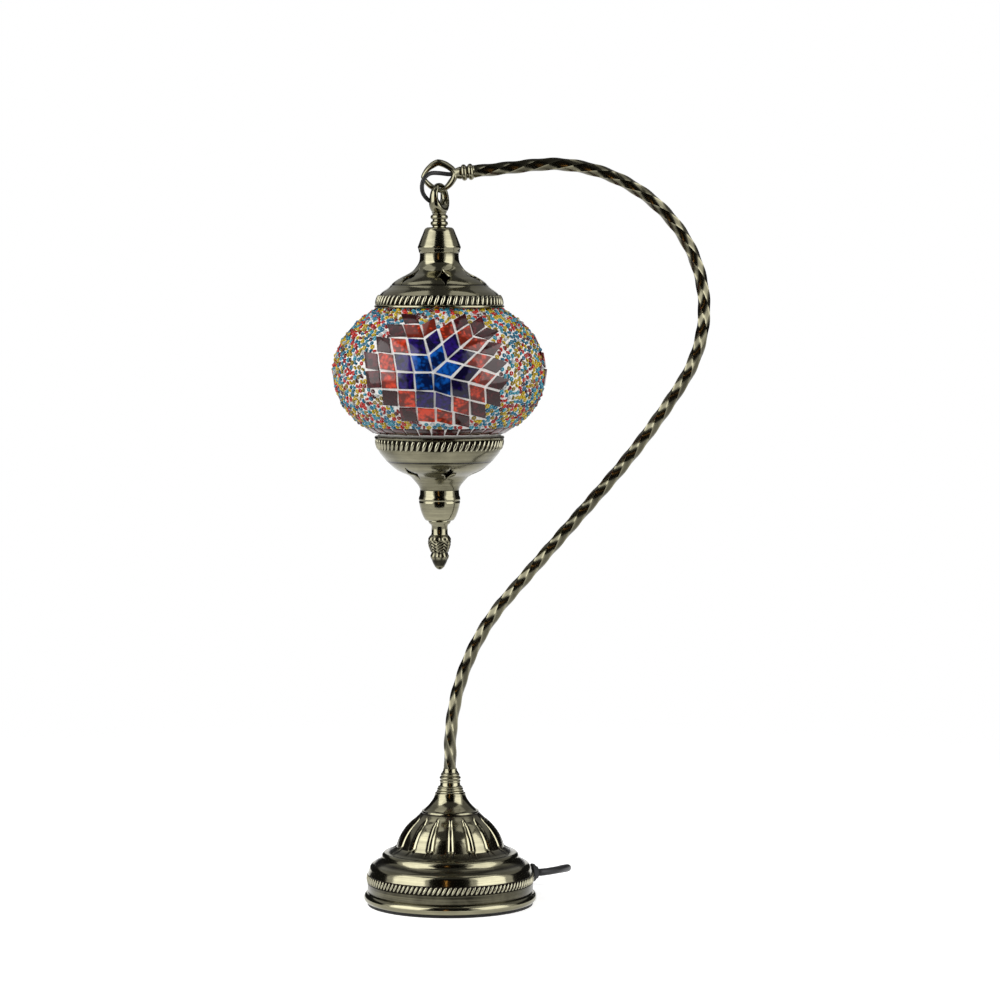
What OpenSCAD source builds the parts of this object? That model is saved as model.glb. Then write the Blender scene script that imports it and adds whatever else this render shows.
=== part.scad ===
// Swan-neck table lamp with a hanging mosaic glass lantern.
// The base stands on a felt pad. A twisted tube rises from it, bends over at the top and ends in a cast
// ring. The lantern hangs from that ring by a cast loop. Axis of the base = Z, arm in the XZ plane.

/* [Base] */
// Width of the foot ring that the felt pad leaves bare
felt_in = 2.3; // [1:0.1:5]
// Thickness of the felt pad
felt_t = 1.5; // [1:0.1:3]
// Width of the foot ring outside the wall of the base shell
foot_lip = 2.8; // [2.2:0.1:5]
// Height of the foot ring
foot_h = 6; // [5:0.5:8]
// Outer radius of the straight wall of the base shell
shell_r = 50; // [48.5:0.1:51]
// Sheet thickness of the spun shells
sheet = 1.2; // [0.8:0.1:1.6]
// Height of the straight wall, from the foot ring to the shoulder
wall_h = 12.5; // [11:0.5:16]
// Radius at which the fluted dome starts
dome_r = 34; // [32:0.5:36]
// Height of the fluted dome and the cone above it
dome_h = 32.5; // [31:0.5:38]
// Number of grooves on the dome
flutes = 16; // [8:1:24]
// Depth of a groove on the dome
flute_depth = 0.7; // [0.3:0.1:0.8]
// Height of the rim of the weight disc
weight_h = 6.5; // [4:0.5:7]
// Room between the weight disc and the wall of the base shell
weight_in = 7; // [6:0.5:10]

/* [Stem] */
// Radius of the threaded nipple that holds the arm
nipple_r = 5; // [4.5:0.1:5.2]
// Length of the threaded nipple
nipple_len = 24; // [20:1:26]
// Wire bore of the threaded nipple, as a radius
nipple_bore = 3; // [2:0.1:3.6]
// Height of the turned collar
collar_h = 15; // [13:0.5:20]
// Depth of the arm's seat in the collar
arm_seat = 6; // [4:0.5:7]

/* [Swan neck] */
// Diameter of the arm over its ridges
arm_d = 7.9; // [7:0.1:8.4]
// Flats round the twisted arm
arm_flats = 5; // [4:1:8]
// Length of arm in which the flats turn once round
arm_lead = 74; // [50:1:120]
// Radius of the bore of the arm
arm_bore = 2; // [1.5:0.1:2.3]
// Straight rise above the collar
rise_len = 11; // [6:1:20]
// Radius of the lower bend
low_bend_r = 143; // [120:1:160]
// Angle of the lower bend
low_bend_deg = 41.1; // [38:0.1:44]
// Straight slope between the bends
slope_len = 90; // [80:1:100]
// Radius of the slow bend that ends the slope
ease_r = 509; // [450:1:560]
// Angle of the slow bend
ease_deg = 8.8; // [7:0.1:10]
// Radius of the outer side of the crook
crook_r = 82.8; // [76:0.1:90]
// Angle of the outer side of the crook
crook_deg = 70.8; // [66:0.1:74]
// Radius of the top of the crook
top_r = 94.9; // [88:0.1:102]
// Angle of the top of the crook
top_deg = 57.6; // [54:0.1:60]
// Straight length that ends the arm
tip_len = 36.8; // [30:0.1:44]

/* [Ring and hanger] */
// Mean radius of the ring at the arm's tip
ring_r = 9.3; // [8.5:0.1:11]
// Radial thickness of the cast wire of ring and hanger
wire_t = 2.9; // [2.4:0.1:3.2]
// Width of the cast wire, across its ridges
wire_w = 4.4; // [3.6:0.1:4.8]
// Free gap between ring and hanger where they hook together
hook_gap = 0.35; // [0.3:0.05:0.6]
// Length of the ferrule that joins ring and arm
ferrule_len = 8.6; // [7:0.1:11]
// Radius of the ferrule's beads
ferrule_r = 5; // [4.6:0.1:5.6]
// Mean radius of the hanger's loop
loop_r = 8; // [7.5:0.1:9.5]
// Turn of the hanger's loop out of the arm's plane
loop_turn = 62; // [54:1:90]
// Height of the hanger's collar
hanger_collar_h = 8.4; // [7:0.1:10]
// Radius of the hanger's collar beads
hanger_collar_r = 5.3; // [5:0.1:6]
// Radius of the black lead
lead_r = 1.2; // [0.9:0.05:1.3]

/* [Lantern] */
// Height of the top cup
cup_h = 15.6; // [13:0.1:18]
// Largest radius of the top cup
cup_r = 13; // [12.6:0.1:14]
// Radius of the necks of both canopies
neck_r = 11.8; // [11.2:0.1:12.2]
// Height of a canopy
canopy_h = 33.2; // [30:0.1:36]
// Width of a canopy's fluted band outside the neck of the glass
band_w = 5.29; // [4.4:0.01:6.4]
// Vents round each canopy
vents = 6; // [4:1:8]
// Width of a vent over its points
vent_w = 7.4; // [5:0.1:8]
// Height of the bottom cup
low_cup_h = 18.4; // [15:0.1:21]
// Length of the finial's stem
stem_len = 9.2; // [7:0.1:12]
// Length of the pine-cone finial
finial_len = 20.8; // [16:0.1:24]
// Largest radius of the finial
finial_r = 6.6; // [5.8:0.1:7.4]

/* [Globe] */
// Radius of the glass globe at its equator
globe_a = 62.5; // [60:0.1:66]
// Half height that the globe would have without its openings
globe_b = 45; // [43:0.1:47]
// Height of each opening above or below the equator
globe_cut = 37.8; // [36:0.1:38.5]
// Thickness of the glass
glass_t = 2.2; // [1.6:0.1:3]
// Length of the short necks of the globe
globe_neck = 6.5; // [5:0.1:8]
// Thickness of the bed of grout
grout_t = 0.8; // [0.5:0.1:1.2]

/* [Mosaic] */
// Side of a rhombic tile with its grout joint
tile_side = 10.8; // [10:0.1:11.4]
// Thickness of a tile
tile_t = 1.5; // [1:0.1:2]
// Grout joint between tiles
tile_gap = 1; // [0.8:0.1:1.6]
// Star medallions round the globe
medallions = 3; // [2:1:3]
// Turn of the first medallion from the front
star_turn = -2.4; // [-20:0.1:20]
// Width of a tile of the bottom border
border_w = 8; // [7:0.1:12]
// Height of a tile of the bottom border
border_h = 7.6; // [5:0.1:8]

/* [Lamp holder and bulb] */
// Radius of the lamp holder
holder_r = 13; // [12:0.1:15]
// Radius of the bulb's screw cap
bulb_cap_r = 7; // [6.5:0.1:7.5]
// Length of the bulb's screw cap
bulb_cap_len = 20; // [16:0.5:22]
// Radius of the bulb's glass
bulb_r = 20; // [16:0.5:22.5]

/* [Cord, switch and plug] */
// Diameter of the mains cord
cord_d = 4.6; // [4.2:0.1:4.8]
// Turns of the coil in each of its two layers
coil_turns = 4; // [3:1:4]
// Radius of the outermost turn of the coil
coil_r = 39; // [38.5:0.1:39.5]
// Free gap between neighbouring turns of the coil
coil_gap = 0.5; // [0.45:0.01:0.6]
// Length of the switch in the cord
switch_len = 54; // [50:1:58]
// Width of the switch
switch_w = 18; // [16:0.5:19]
// Height of the switch
switch_h = 13.6; // [12:0.1:15]
// Length of the plug's body
plug_len = 34; // [30:1:38]
// Width of the plug's body
plug_w = 24; // [20:1:26]
// Height of the plug's body
plug_h = 12; // [10:0.5:13]

/* [Hidden] */

bronze = "#7a6a48";
dark_bronze = "#5c4f36";
black = "#1a1a1c";
$fn = 96;
// Clearance of a turned fit, on the radius
fit = 0.05;
// Play of loose inner pieces
play = 0.3;

// Heights of the stand, from the floor up
foot_r = shell_r + foot_lip;
felt_r = foot_r - felt_in;
weight_r = shell_r - weight_in;
foot_top = felt_t + foot_h;
pan_z = foot_top - 1.6;
weight_z = pan_z + sheet;
shoulder_z = foot_top + wall_h;
dome_z = shoulder_z + 15.5;
shell_top = dome_z + dome_h;
collar_top = shell_top + collar_h;
collar_base_r = nipple_r + 3.9;
shell_top_r = collar_base_r + 0.4;

// Meridian of the fluted dome: an arc about a centre near the axis
dome_arc_r = 31;
dome_arc_c = [dome_r - dome_arc_r, dome_z - 8];
dome_arc_from = 15;
dome_arc_to = 55;

function on_arc(c, r, a) = c + r * [cos(a), sin(a)];
function arc(c, r, a0, a1, n) = [for (i = [0 : n]) on_arc(c, r, a0 + (a1 - a0) * i / n)];

// Outline of the base shell from the foot ring to its flat top
dome_top = on_arc(dome_arc_c, dome_arc_r, dome_arc_to);
shell_outline = concat(
  [[shell_r, foot_top], [shell_r + 0.6, foot_top + 2]],
  [[shell_r + 0.6, foot_top + wall_h - 4], [shell_r, shoulder_z]],
  arc([shell_r - 5, shoulder_z + 1], 4.6, 10, 75, 4),
  [[dome_r + 8.5, shoulder_z + 8.2]],
  arc([dome_r + 5, shoulder_z + 9], 3, 5, 80, 4),
  [[dome_r + 2.4, dome_z - 2.2]],
  arc(dome_arc_c, dome_arc_r, dome_arc_from, dome_arc_to, 10),
  [[dome_top[0] - 4.2, dome_top[1] + 4.4], [shell_top_r + 5.9, shell_top - 9.5]],
  [[shell_top_r + 4, shell_top - 7.4], [shell_top_r + 2.5, shell_top - 5.6]],
  [[shell_top_r + 1.2, shell_top - 3.5], [shell_top_r, shell_top]]
);
shell_last = len(shell_outline) - 1;

// Way of the cord out of the base
cord_r = cord_d / 2;
cord_turn = 15;
cord_z = 16.5;
grommet_face = shell_r + 1.6;
grommet_r = cord_r + 3.4;
clamp_from = weight_r - 10;
clamp_to = weight_r - 2;

// Arm: straights and bends as [length, turn], turning left as positive
function bend(r, a) = [r * abs(a) * PI / 180, a];
arm_start = collar_top - arm_seat;
arm_bends = [
  [arm_seat + rise_len, 0], bend(low_bend_r, -low_bend_deg), [slope_len, 0], bend(ease_r, ease_deg),
  bend(crook_r, crook_deg), bend(top_r, top_deg), [tip_len, 0]
];
function step_on(s, b, l) =
  let (h = s[2], t = b[1] * l / b[0], q = b[1] == 0 ? 0 : l / (t * PI / 180))
  b[1] == 0 ? [s[0] + l * cos(h), s[1] + l * sin(h), h]
            : [s[0] + q * (sin(h + t) - sin(h)), s[1] + q * (cos(h) - cos(h + t)), h + t];
arm_states = [for (i = 0, s = [0, arm_start, 90]; i <= len(arm_bends);
                   s = i < len(arm_bends) ? step_on(s, arm_bends[i], arm_bends[i][0]) : s, i = i + 1) s];
arm_marks = [for (i = 0, l = 0; i <= len(arm_bends);
                  l = i < len(arm_bends) ? l + arm_bends[i][0] : l, i = i + 1) l];
arm_len = arm_marks[len(arm_bends)];
function arm_piece(l, i = 0) = i + 1 >= len(arm_bends) || l <= arm_marks[i + 1] ? i : arm_piece(l, i + 1);
function arm_at(l) = let (i = arm_piece(l)) step_on(arm_states[i], arm_bends[i], l - arm_marks[i]);
arm_tip = arm_at(arm_len);
tip_dir = [cos(arm_tip[2]), 0, sin(arm_tip[2])];
tip_point = [arm_tip[0], 0, arm_tip[1]];

// Ring, hook points and lantern axis
ring_reach = ferrule_len + 2 + ring_r + wire_t / 2;
ring_c = tip_point + ring_reach * tip_dir;
hook_low = ring_c - [0, 0, ring_r];
hook_high = hook_low + [0, 0, wire_t + hook_gap];
lantern_x = ring_c[0];
loop_c = hook_high - [0, 0, loop_r];
lantern_z = loop_c[2] - loop_r - wire_t / 2 - hanger_collar_h + 0.6;

// Heights in the lantern, measured from the top of the cup
canopy_z = -cup_h;
canopy_low = canopy_z - canopy_h;
globe_z = canopy_low - 0.7 - globe_cut;
low_canopy_top = globe_z - globe_cut - 0.7;
low_canopy_z = low_canopy_top - canopy_h;
low_cup_z = low_canopy_z - low_cup_h;
finial_z = low_cup_z - stem_len;
hanger_nipple_r = 4;
holder_z = canopy_z - 12;
holder_cap_h = 14;
holder_h = 23;
bulb_z = holder_z - holder_cap_h - holder_h;
rod_r = 2;

// Radius and slope of the globe and of layers on it
function globe_r(h, t = 0) = (globe_a + t) * sqrt(1 - pow(h / (globe_b + t), 2));
function layer_outline(t, n) = [for (i = [-n : n])
  let (h = globe_cut * sin(90 * i / n)) [globe_r(h, t), h]];
neck_glass_r = globe_r(globe_cut);
canopy_r = neck_glass_r + band_w;

// Sweeping a section along a path
function unit(v) = v / norm(v);
function path_dir(p, i) = unit(p[min(i + 1, len(p) - 1)] - p[max(i - 1, 0)]);
function across(d, ref) = unit(cross(ref, d));
function ring_at(c, d, ref, radii, turn) =
  let (u = across(d, ref), v = cross(d, u), n = len(radii))
  [for (k = [0 : n - 1]) c + radii[k] * (cos(turn + 360 * k / n) * u + sin(turn + 360 * k / n) * v)];
function side_faces(rings, n, first, flip) = [for (i = [0 : rings - 2]) for (k = [0 : n - 1])
  let (a = first + i * n + k, b = first + i * n + (k + 1) % n)
  each flip ? [[a, a + n, b], [b, a + n, b + n]] : [[a, b, a + n], [b, b + n, a + n]]];

module tube(path, r, sides, ref) {
  rings = len(path);
  radii = [for (k = [1 : sides]) r];
  points = [for (i = [0 : rings - 1]) each ring_at(path[i], path_dir(path, i), ref, radii, 0)];
  low_cap = [for (k = [1 : sides - 2]) [0, k + 1, k]];
  top = (rings - 1) * sides;
  high_cap = [for (k = [1 : sides - 2]) [top, top + k, top + k + 1]];
  polyhedron(points, concat(side_faces(rings, sides, 0, false), low_cap, high_cap));
}

// Solid of revolution from an outline that runs beside the axis
module turned(outline) rotate_extrude() polygon(outline);

// Sheet-metal shell of revolution: outline outside, the same outline moved in by the sheet inside
module spun(outline, inside) rotate_extrude() difference() {
  polygon(concat([[0, outline[0][1]]], outline, [[0, outline[len(outline) - 1][1]]]));
  polygon(concat([[0, inside[0][1]]], inside, [[0, inside[len(inside) - 1][1]]]));
}

module hex_nut(flats, bore, h) difference() {
  cylinder(r = flats / sqrt(3), h = h, $fn = 6);
  translate([0, 0, -1]) cylinder(r = bore, h = h + 2);
}

module tube_bar(r, bore, h) difference() {
  cylinder(r = r, h = h);
  translate([0, 0, -1]) cylinder(r = bore, h = h + 2);
}

module in_lantern(h = 0) translate([lantern_x, 0, lantern_z + h]) children();
module along_cord(d) rotate([0, 0, cord_turn]) translate([d, 0, cord_z]) rotate([0, 90, 0]) children();

// Base
module felt_pad() color("#2b2622") cylinder(r = felt_r, h = felt_t);

module base_pan() color(dark_bronze) rotate_extrude() union() {
  translate([0, pan_z]) square([foot_r - foot_h / 2, sheet]);
  translate([foot_r - foot_h / 2, felt_t + foot_h / 2]) circle(r = foot_h / 2);
}

hub_r = weight_r / 2;
hub_h = 14;
module base_weight() color("#3c3c3e") translate([0, 0, weight_z]) union() {
  cylinder(r = weight_r, h = weight_h);
  cylinder(r = hub_r, h = weight_h + hub_h);
}

module flute() translate([dome_arc_c[0], 0, dome_arc_c[1]]) rotate([90, 0, 0])
  rotate([0, 0, dome_arc_from + 4]) rotate_extrude(angle = dome_arc_to - dome_arc_from - 5)
    translate([dome_arc_r, 0]) circle(r = flute_depth);

shell_inside = concat([[shell_r - sheet, foot_top - 1]],
  [for (i = [2 : shell_last]) shell_outline[i] - sheet * [1, i < 4 ? 0 : 0.75]],
  [[nipple_r, shell_outline[shell_last][1] - 0.75 * sheet]]);
module base_shell() color(bronze) difference() {
  spun(shell_outline, shell_inside);
  translate([0, 0, shell_top - 3 * sheet]) cylinder(r = nipple_r + fit, h = 6 * sheet);
  for (i = [0 : flutes - 1]) rotate([0, 0, (i + 0.06) * 360 / flutes - 90]) flute();
  along_cord(0) cylinder(r = cord_r + 1.9, h = shell_r + 5);
}

// Stem
washer_t = 1.4;
lock_nut_h = 4;
nipple_top = shell_top + collar_h - arm_seat - 1;
clamp_z = shell_top - 0.75 * sheet;
module stem_washer() color("#9a9a94") translate([0, 0, clamp_z - washer_t])
  tube_bar(nipple_r + 1.6, nipple_r + fit, washer_t);
module stem_lock_nut() color("#9a9a94") translate([0, 0, clamp_z - washer_t - lock_nut_h])
  hex_nut(2 * nipple_r + 3, nipple_r + fit, lock_nut_h);
module stem_nipple() color("#a8986a") translate([0, 0, nipple_top - nipple_len])
  tube_bar(nipple_r, nipple_bore, nipple_len);

module stem_collar() color(bronze) difference() {
  turned(concat(
    [[0, shell_top], [collar_base_r, shell_top]],
    arc([collar_base_r - 1.3, shell_top + 0.9], 0.8, -40, 80, 4),
    arc([collar_base_r - 1.8, shell_top + 2.4], 0.9, -60, 70, 4),
    [[nipple_r + 2.4, shell_top + 3.6], [nipple_r + 1.3, shell_top + 4.8], [nipple_r + 1.2, shell_top + 6.2]],
    arc([nipple_r + 0.6, shell_top + 7.4], 0.8, -60, 60, 4),
    arc([nipple_r + 0.7, shell_top + 9.4], 0.8, -60, 60, 4),
    arc([nipple_r - 0.1, shell_top + 11.3], 0.9, -40, 80, 4),
    [[arm_d / 2 + 0.8, collar_top - 2], [arm_d / 2 + 0.7, collar_top], [0, collar_top]]));
  translate([0, 0, shell_top - 1]) cylinder(r = nipple_r + fit, h = nipple_top - shell_top + 1 + fit);
  translate([0, 0, shell_top]) cylinder(r = arm_bore + 0.4, h = collar_h);
  translate([0, 0, collar_top - arm_seat]) cylinder(r = arm_d / 2 + fit, h = arm_seat + 1);
}

// Arm: a hollow twisted bar with flats, swept along its bends
arm_rings = 118;
arm_places = [for (i = [0 : arm_rings - 1]) arm_len * i / (arm_rings - 1)];
function arm_skin(radii) = [for (l = arm_places)
  let (s = arm_at(l))
  each ring_at([s[0], 0, s[1]], [cos(s[2]), 0, sin(s[2])], [0, 1, 0], radii, -360 * l / arm_lead)];
module swan_arm() color(bronze) {
  n = 2 * arm_flats;
  ridge = arm_d / 2;
  outer = [for (k = [0 : n - 1]) k % 2 == 0 ? ridge : ridge * cos(180 / arm_flats)];
  inner = [for (k = [1 : n]) arm_bore];
  inside = arm_rings * n;
  last = (arm_rings - 1) * n;
  low_cap = [for (k = [0 : n - 1]) let (a = k, b = (k + 1) % n)
    each [[a, inside + a, b], [b, inside + a, inside + b]]];
  high_cap = [for (k = [0 : n - 1]) let (a = last + k, b = last + (k + 1) % n)
    each [[a, b, inside + a], [b, inside + b, inside + a]]];
  polyhedron(concat(arm_skin(outer), arm_skin(inner)),
             concat(side_faces(arm_rings, n, 0, false), side_faces(arm_rings, n, inside, true),
                    low_cap, high_cap));
}

// Cast wire of ring and hanger: a lens section, ridged inside and outside
lens_r = (pow(wire_w / 2, 2) + pow(wire_t / 2, 2)) / wire_t;
module lens() intersection() {
  translate([lens_r - wire_t / 2, 0]) circle(r = lens_r);
  translate([wire_t / 2 - lens_r, 0]) circle(r = lens_r);
}
module cast_loop(r) rotate([90, 0, 0]) rotate_extrude() translate([r, 0]) lens();
module two_beads(r, h) union() {
  for (i = [0, 1]) translate([0, 0, h * (0.27 + 0.46 * i)]) rotate_extrude() union() {
    translate([r - h / 5, 0]) circle(r = h / 5);
    translate([0, -h / 5]) square([r - h / 5, 2 * h / 5]);
  }
  cylinder(r = r - h / 8, h = h);
}

module arm_ring() color(bronze) translate(tip_point) rotate([0, -arm_tip[2], 0]) difference() {
  union() {
    rotate([0, 90, 0]) two_beads(ferrule_r, ferrule_len);
    translate([ferrule_len, 0, 0]) rotate([0, 90, 0])
      cylinder(r1 = ferrule_r - 1.2, r2 = wire_w / 2 - 0.1, h = 2 + wire_t / 2);
    translate([ring_reach, 0, 0]) cast_loop(ring_r);
  }
  translate([-1, 0, 0]) rotate([0, 90, 0]) cylinder(r = lead_r + play, h = ferrule_len + 7);
}

// Leads
function arm_path(n) = [for (i = [0 : n]) let (s = arm_at(arm_len * i / n)) [s[0], 0, s[1]]];
connector_r = 4.5;
connector_len = 14;
connector_end = -hub_r - play;
rim_top = weight_z + weight_h;
hub_top = rim_top + hub_h;
nipple_low = nipple_top - nipple_len;
lead_foot = [
  [connector_end - 8, 0, rim_top + connector_r + 3.1], [connector_end - 5, 0, rim_top + connector_r + 6.5],
  [connector_end - 1, 0, hub_top + 2.5], [connector_end + 8, 0, hub_top + 8], [-4, 0, nipple_low - 7],
  [0, 0, nipple_low + 2]
];
lead_tip = tip_point + (ferrule_len + 2) * tip_dir;
module lead_in_arm() color(black)
  tube(concat(lead_foot, arm_path(64), [lead_tip]), lead_r, 6, [0, 1, 0]);

module wire_connectors() color("#c8b890") for (s = [-1, 1])
  translate([connector_end - connector_len, s * (connector_r + 0.4), rim_top + connector_r])
    rotate([0, 90, 0]) cylinder(r = connector_r, h = connector_len);

// Loop of free lead between the arm's tip and the hanger, set out from the ring's centre
jumper_steps = [
  [6, 0, 0.6], [0, -1.2, 1.2], [-5, -3.6, 1], [-8.6, -5.2, -1.6], [-10.2, -5.6, -6], [-9.8, -5, -10.6],
  [-7.4, -3.4, -14.2], [-4, -1.7, -16.6], [-1.4, -0.5, -18.4], [0, 0, -20.4]
];
module lead_jumper() color(black) tube(
  concat([lead_tip], [for (p = jumper_steps) ring_c + p], [[lantern_x, 0, lantern_z + hanger_collar_h]]),
  lead_r, 8, [0, 1, 0]);

// Cord entry
module cord_grommet() color(black) along_cord(0) difference() {
  union() {
    translate([0, 0, shell_r - 3.4]) cylinder(r = cord_r + 2.7, h = 1.6);
    translate([0, 0, shell_r - 3.4]) cylinder(r = cord_r + 1.8, h = grommet_face - shell_r + 4);
    translate([0, 0, grommet_face]) cylinder(r1 = grommet_r, r2 = grommet_r - 1.2, h = 2.4);
  }
  cylinder(r = cord_r + fit, h = shell_r + 10);
}

module cord_clamp() color("#3a3a3c") rotate([0, 0, cord_turn]) difference() {
  translate([clamp_from, -cord_d - 1, rim_top])
    cube([clamp_to - clamp_from, 2 * cord_d + 2, cord_z + cord_r + 2 - rim_top]);
  translate([0, 0, cord_z]) rotate([0, 90, 0]) cylinder(r = cord_r + fit, h = shell_r);
}

// Hanger
module hanger_loop() color(bronze) translate([lantern_x, 0, 0]) difference() {
  union() {
    translate([0, 0, lantern_z]) two_beads(hanger_collar_r, hanger_collar_h);
    translate([0, 0, loop_c[2]]) rotate([0, 0, loop_turn]) cast_loop(loop_r);
  }
  translate([0, 0, lantern_z - 1]) cylinder(r = hanger_nipple_r + fit, h = 6);
  translate([0, 0, lantern_z]) cylinder(r = lead_r + play, h = hanger_collar_h + wire_t + 1);
}

nut_h = 5;
module hanger_nipple() color("#a8986a") in_lantern(holder_z - 5)
  tube_bar(hanger_nipple_r, lead_r + play, 4.5 - holder_z + 5);
module canopy_nut() color("#9a9a94") in_lantern(canopy_z - sheet - nut_h)
  hex_nut(14, hanger_nipple_r + fit, nut_h);

cup_outline = [
  [cup_r - 1, -cup_h], [cup_r - 0.5, -cup_h + 1.6], [cup_r, -cup_h + 3.3], [cup_r - 0.6, -cup_h + 6],
  [cup_r - 1.8, -cup_h + 9.5], [hanger_collar_r + 3.5, -1.3], [hanger_collar_r + 1.7, 0]
];
cup_last = len(cup_outline) - 1;
module top_cup() color(bronze) in_lantern() difference() {
  spun(cup_outline, concat([cup_outline[0] - [sheet, 1]],
    [for (i = [1 : cup_last]) cup_outline[i] - sheet * [1, i > 4 ? 1 : 0]]));
  translate([0, 0, -2 * sheet]) cylinder(r = hanger_nipple_r + fit, h = 4 * sheet);
}

// Canopy: a spun cap with a band, a shoulder, a flare and a neck, drawn neck upward.
// Points give the share of the width from neck to band, and the share of the height.
top_shape = [[0.964, 0], [1, 0.066], [0.978, 0.145], [0.92, 0.223], [0.832, 0.298], [0.715, 0.37],
  [0.628, 0.446], [0.504, 0.521], [0.336, 0.593], [0.175, 0.669], [0.088, 0.744], [0.026, 0.816],
  [0, 0.892], [0, 1]];
low_shape = [[0.964, 0], [1, 0.072], [0.989, 0.157], [0.956, 0.229], [0.854, 0.358], [0.777, 0.434],
  [0.679, 0.509], [0.588, 0.581], [0.456, 0.657], [0.234, 0.732], [0.146, 0.807], [0.058, 0.889],
  [0.015, 0.955], [0, 1]];
canopy_last = len(top_shape) - 1;
function canopy_outline(shape) =
  [for (p = shape) [neck_r + (canopy_r - neck_r) * p[0], canopy_h * p[1]]];
function canopy_inside(outline) = concat([outline[0] - [sheet, 1]],
  [for (i = [1 : canopy_last]) outline[i] - sheet * [1, i > 3 ? 1 : 0]]);

// Four-pointed vent with hollow sides
module star(w) difference() {
  square(w, center = true);
  for (a = [45 : 90 : 315]) rotate(a) translate([w * 0.72, 0]) circle(r = w * 0.54);
}
vent_r = (canopy_r + neck_r) / 2 - 2;
module canopy(shape, turn) difference() {
  spun(canopy_outline(shape), canopy_inside(canopy_outline(shape)));
  translate([0, 0, canopy_h - 3 * sheet]) cylinder(r = hanger_nipple_r + fit, h = 6 * sheet);
  for (i = [0 : vents - 1]) rotate([0, 0, turn + 360 * i / vents]) translate([vent_r, 0, canopy_h - 24])
    rotate([0, 0, 45]) linear_extrude(16) star(vent_w / sqrt(2));
}
module top_canopy() color(bronze) in_lantern(canopy_low) canopy(top_shape, -81.4);
module bottom_canopy() color(bronze) in_lantern(low_canopy_top) mirror([0, 0, 1]) canopy(low_shape, -75);

// Lamp holder and bulb
module lead_in_lantern() color(black) in_lantern(holder_z - holder_cap_h + 4)
  cylinder(r = lead_r, h = hanger_collar_h - holder_z + holder_cap_h - 4);
module holder_cap() color("#1c1c1e") in_lantern(holder_z - holder_cap_h) difference() {
  rotate_extrude() polygon([[0, 0], [holder_r, 0], [holder_r, holder_cap_h - 5],
                            [holder_r - 5, holder_cap_h], [0, holder_cap_h]]);
  translate([0, 0, -1]) cylinder(r = holder_r - 2, h = holder_cap_h - 5);
  cylinder(r = hanger_nipple_r + fit, h = holder_cap_h + 1);
}
module holder_body() color("#232326") in_lantern(bulb_z) difference() {
  cylinder(r = holder_r, h = holder_h);
  translate([0, 0, -1]) cylinder(r = bulb_cap_r + 0.2, h = bulb_cap_len + 1.5);
  cylinder(r = 2.5, h = holder_h + 1);
}
module holder_contact() color("#b08d4a") in_lantern(bulb_z + bulb_cap_len + 0.5)
  tube_bar(2.45, 0.8, holder_h - bulb_cap_len + 1.5);
module bulb_cap() color("#b9b9b4") in_lantern(bulb_z) union() {
  cylinder(r = bulb_cap_r, h = bulb_cap_len - 3);
  translate([0, 0, bulb_cap_len - 3]) cylinder(r1 = bulb_cap_r - 0.5, r2 = 3, h = 3);
}
bulb_neck = 8;
module bulb_glass() color("#f0ede2") in_lantern(bulb_z) mirror([0, 0, 1]) rotate_extrude() polygon(concat(
  [[0, 0], [bulb_cap_r, 0], [bulb_cap_r + 1, 2]],
  arc([0, bulb_neck + bulb_r * 0.9], bulb_r, -50, 90, 14)));

// Globe and mosaic
module globe_profile() difference() {
  union() {
    polygon(concat([[0, -globe_cut]], layer_outline(0, 14), [[0, globe_cut]]));
    translate([0, -globe_cut - globe_neck]) square([neck_glass_r, 2 * (globe_cut + globe_neck)]);
  }
  polygon(concat([[0, -globe_cut]], layer_outline(-glass_t, 14), [[0, globe_cut]]));
  translate([0, -globe_cut - globe_neck - 1])
    square([globe_r(globe_cut, -glass_t), 2 * (globe_cut + globe_neck + 1)]);
}
// The blown globe is drawn as an upper half and two lower quarters that meet
module globe_half(sweep) rotate_extrude(angle = sweep) intersection() {
  globe_profile();
  square([globe_a + 1, globe_cut + globe_neck]);
}
module globe_glass_upper() color("#e8e4da") in_lantern(globe_z) globe_half(360);
module lower_quarter(turn) in_lantern(globe_z) rotate([0, 0, turn]) mirror([0, 0, 1]) globe_half(180);
module globe_glass_lower_left() color("#e8e4da") lower_quarter(90);
module globe_glass_lower_right() color("#e8e4da") lower_quarter(-90);
module mosaic_grout() color("#e9e2d2") in_lantern(globe_z) rotate_extrude() difference() {
  polygon(concat([[0, -globe_cut]], layer_outline(grout_t, 14), [[0, globe_cut]]));
  polygon(concat([[0, -globe_cut]], layer_outline(0, 14), [[0, globe_cut]]));
}

bedding_h = 4;
module bedding(inset) tube_bar(canopy_r - inset - sheet, neck_glass_r + fit, bedding_h);
module top_bedding() color("#ddd8cc") in_lantern(globe_z + globe_cut + globe_neck - bedding_h) bedding(1.6);
module bottom_bedding() color("#ddd8cc") in_lantern(globe_z - globe_cut - globe_neck) bedding(0.9);

// Places on the globe: u runs round it, v runs along the meridian from the equator up
seat = grout_t + 0.12;
meridian_steps = 60;
function meridian(a) = [(globe_a + seat) * cos(a), (globe_b + seat) * sin(a)];
meridian_marks = [for (i = 0, l = 0; i <= meridian_steps;
  l = l + norm(meridian(90 * (i + 1) / meridian_steps) - meridian(90 * i / meridian_steps)), i = i + 1) l];
function meridian_angle(v) =
  sign(v) * lookup(abs(v), [for (i = [0 : meridian_steps]) [meridian_marks[i], 90 * i / meridian_steps]]);
function on_globe(u, v, turn) =
  let (m = meridian(meridian_angle(v)), az = turn - 90 + u / m[0] * 180 / PI)
  [m[0] * cos(az), m[0] * sin(az), m[1]];
function globe_normal(p) = unit([p[0] / pow(globe_a, 2), p[1] / pow(globe_a, 2), p[2] / pow(globe_b, 2)]);

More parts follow.
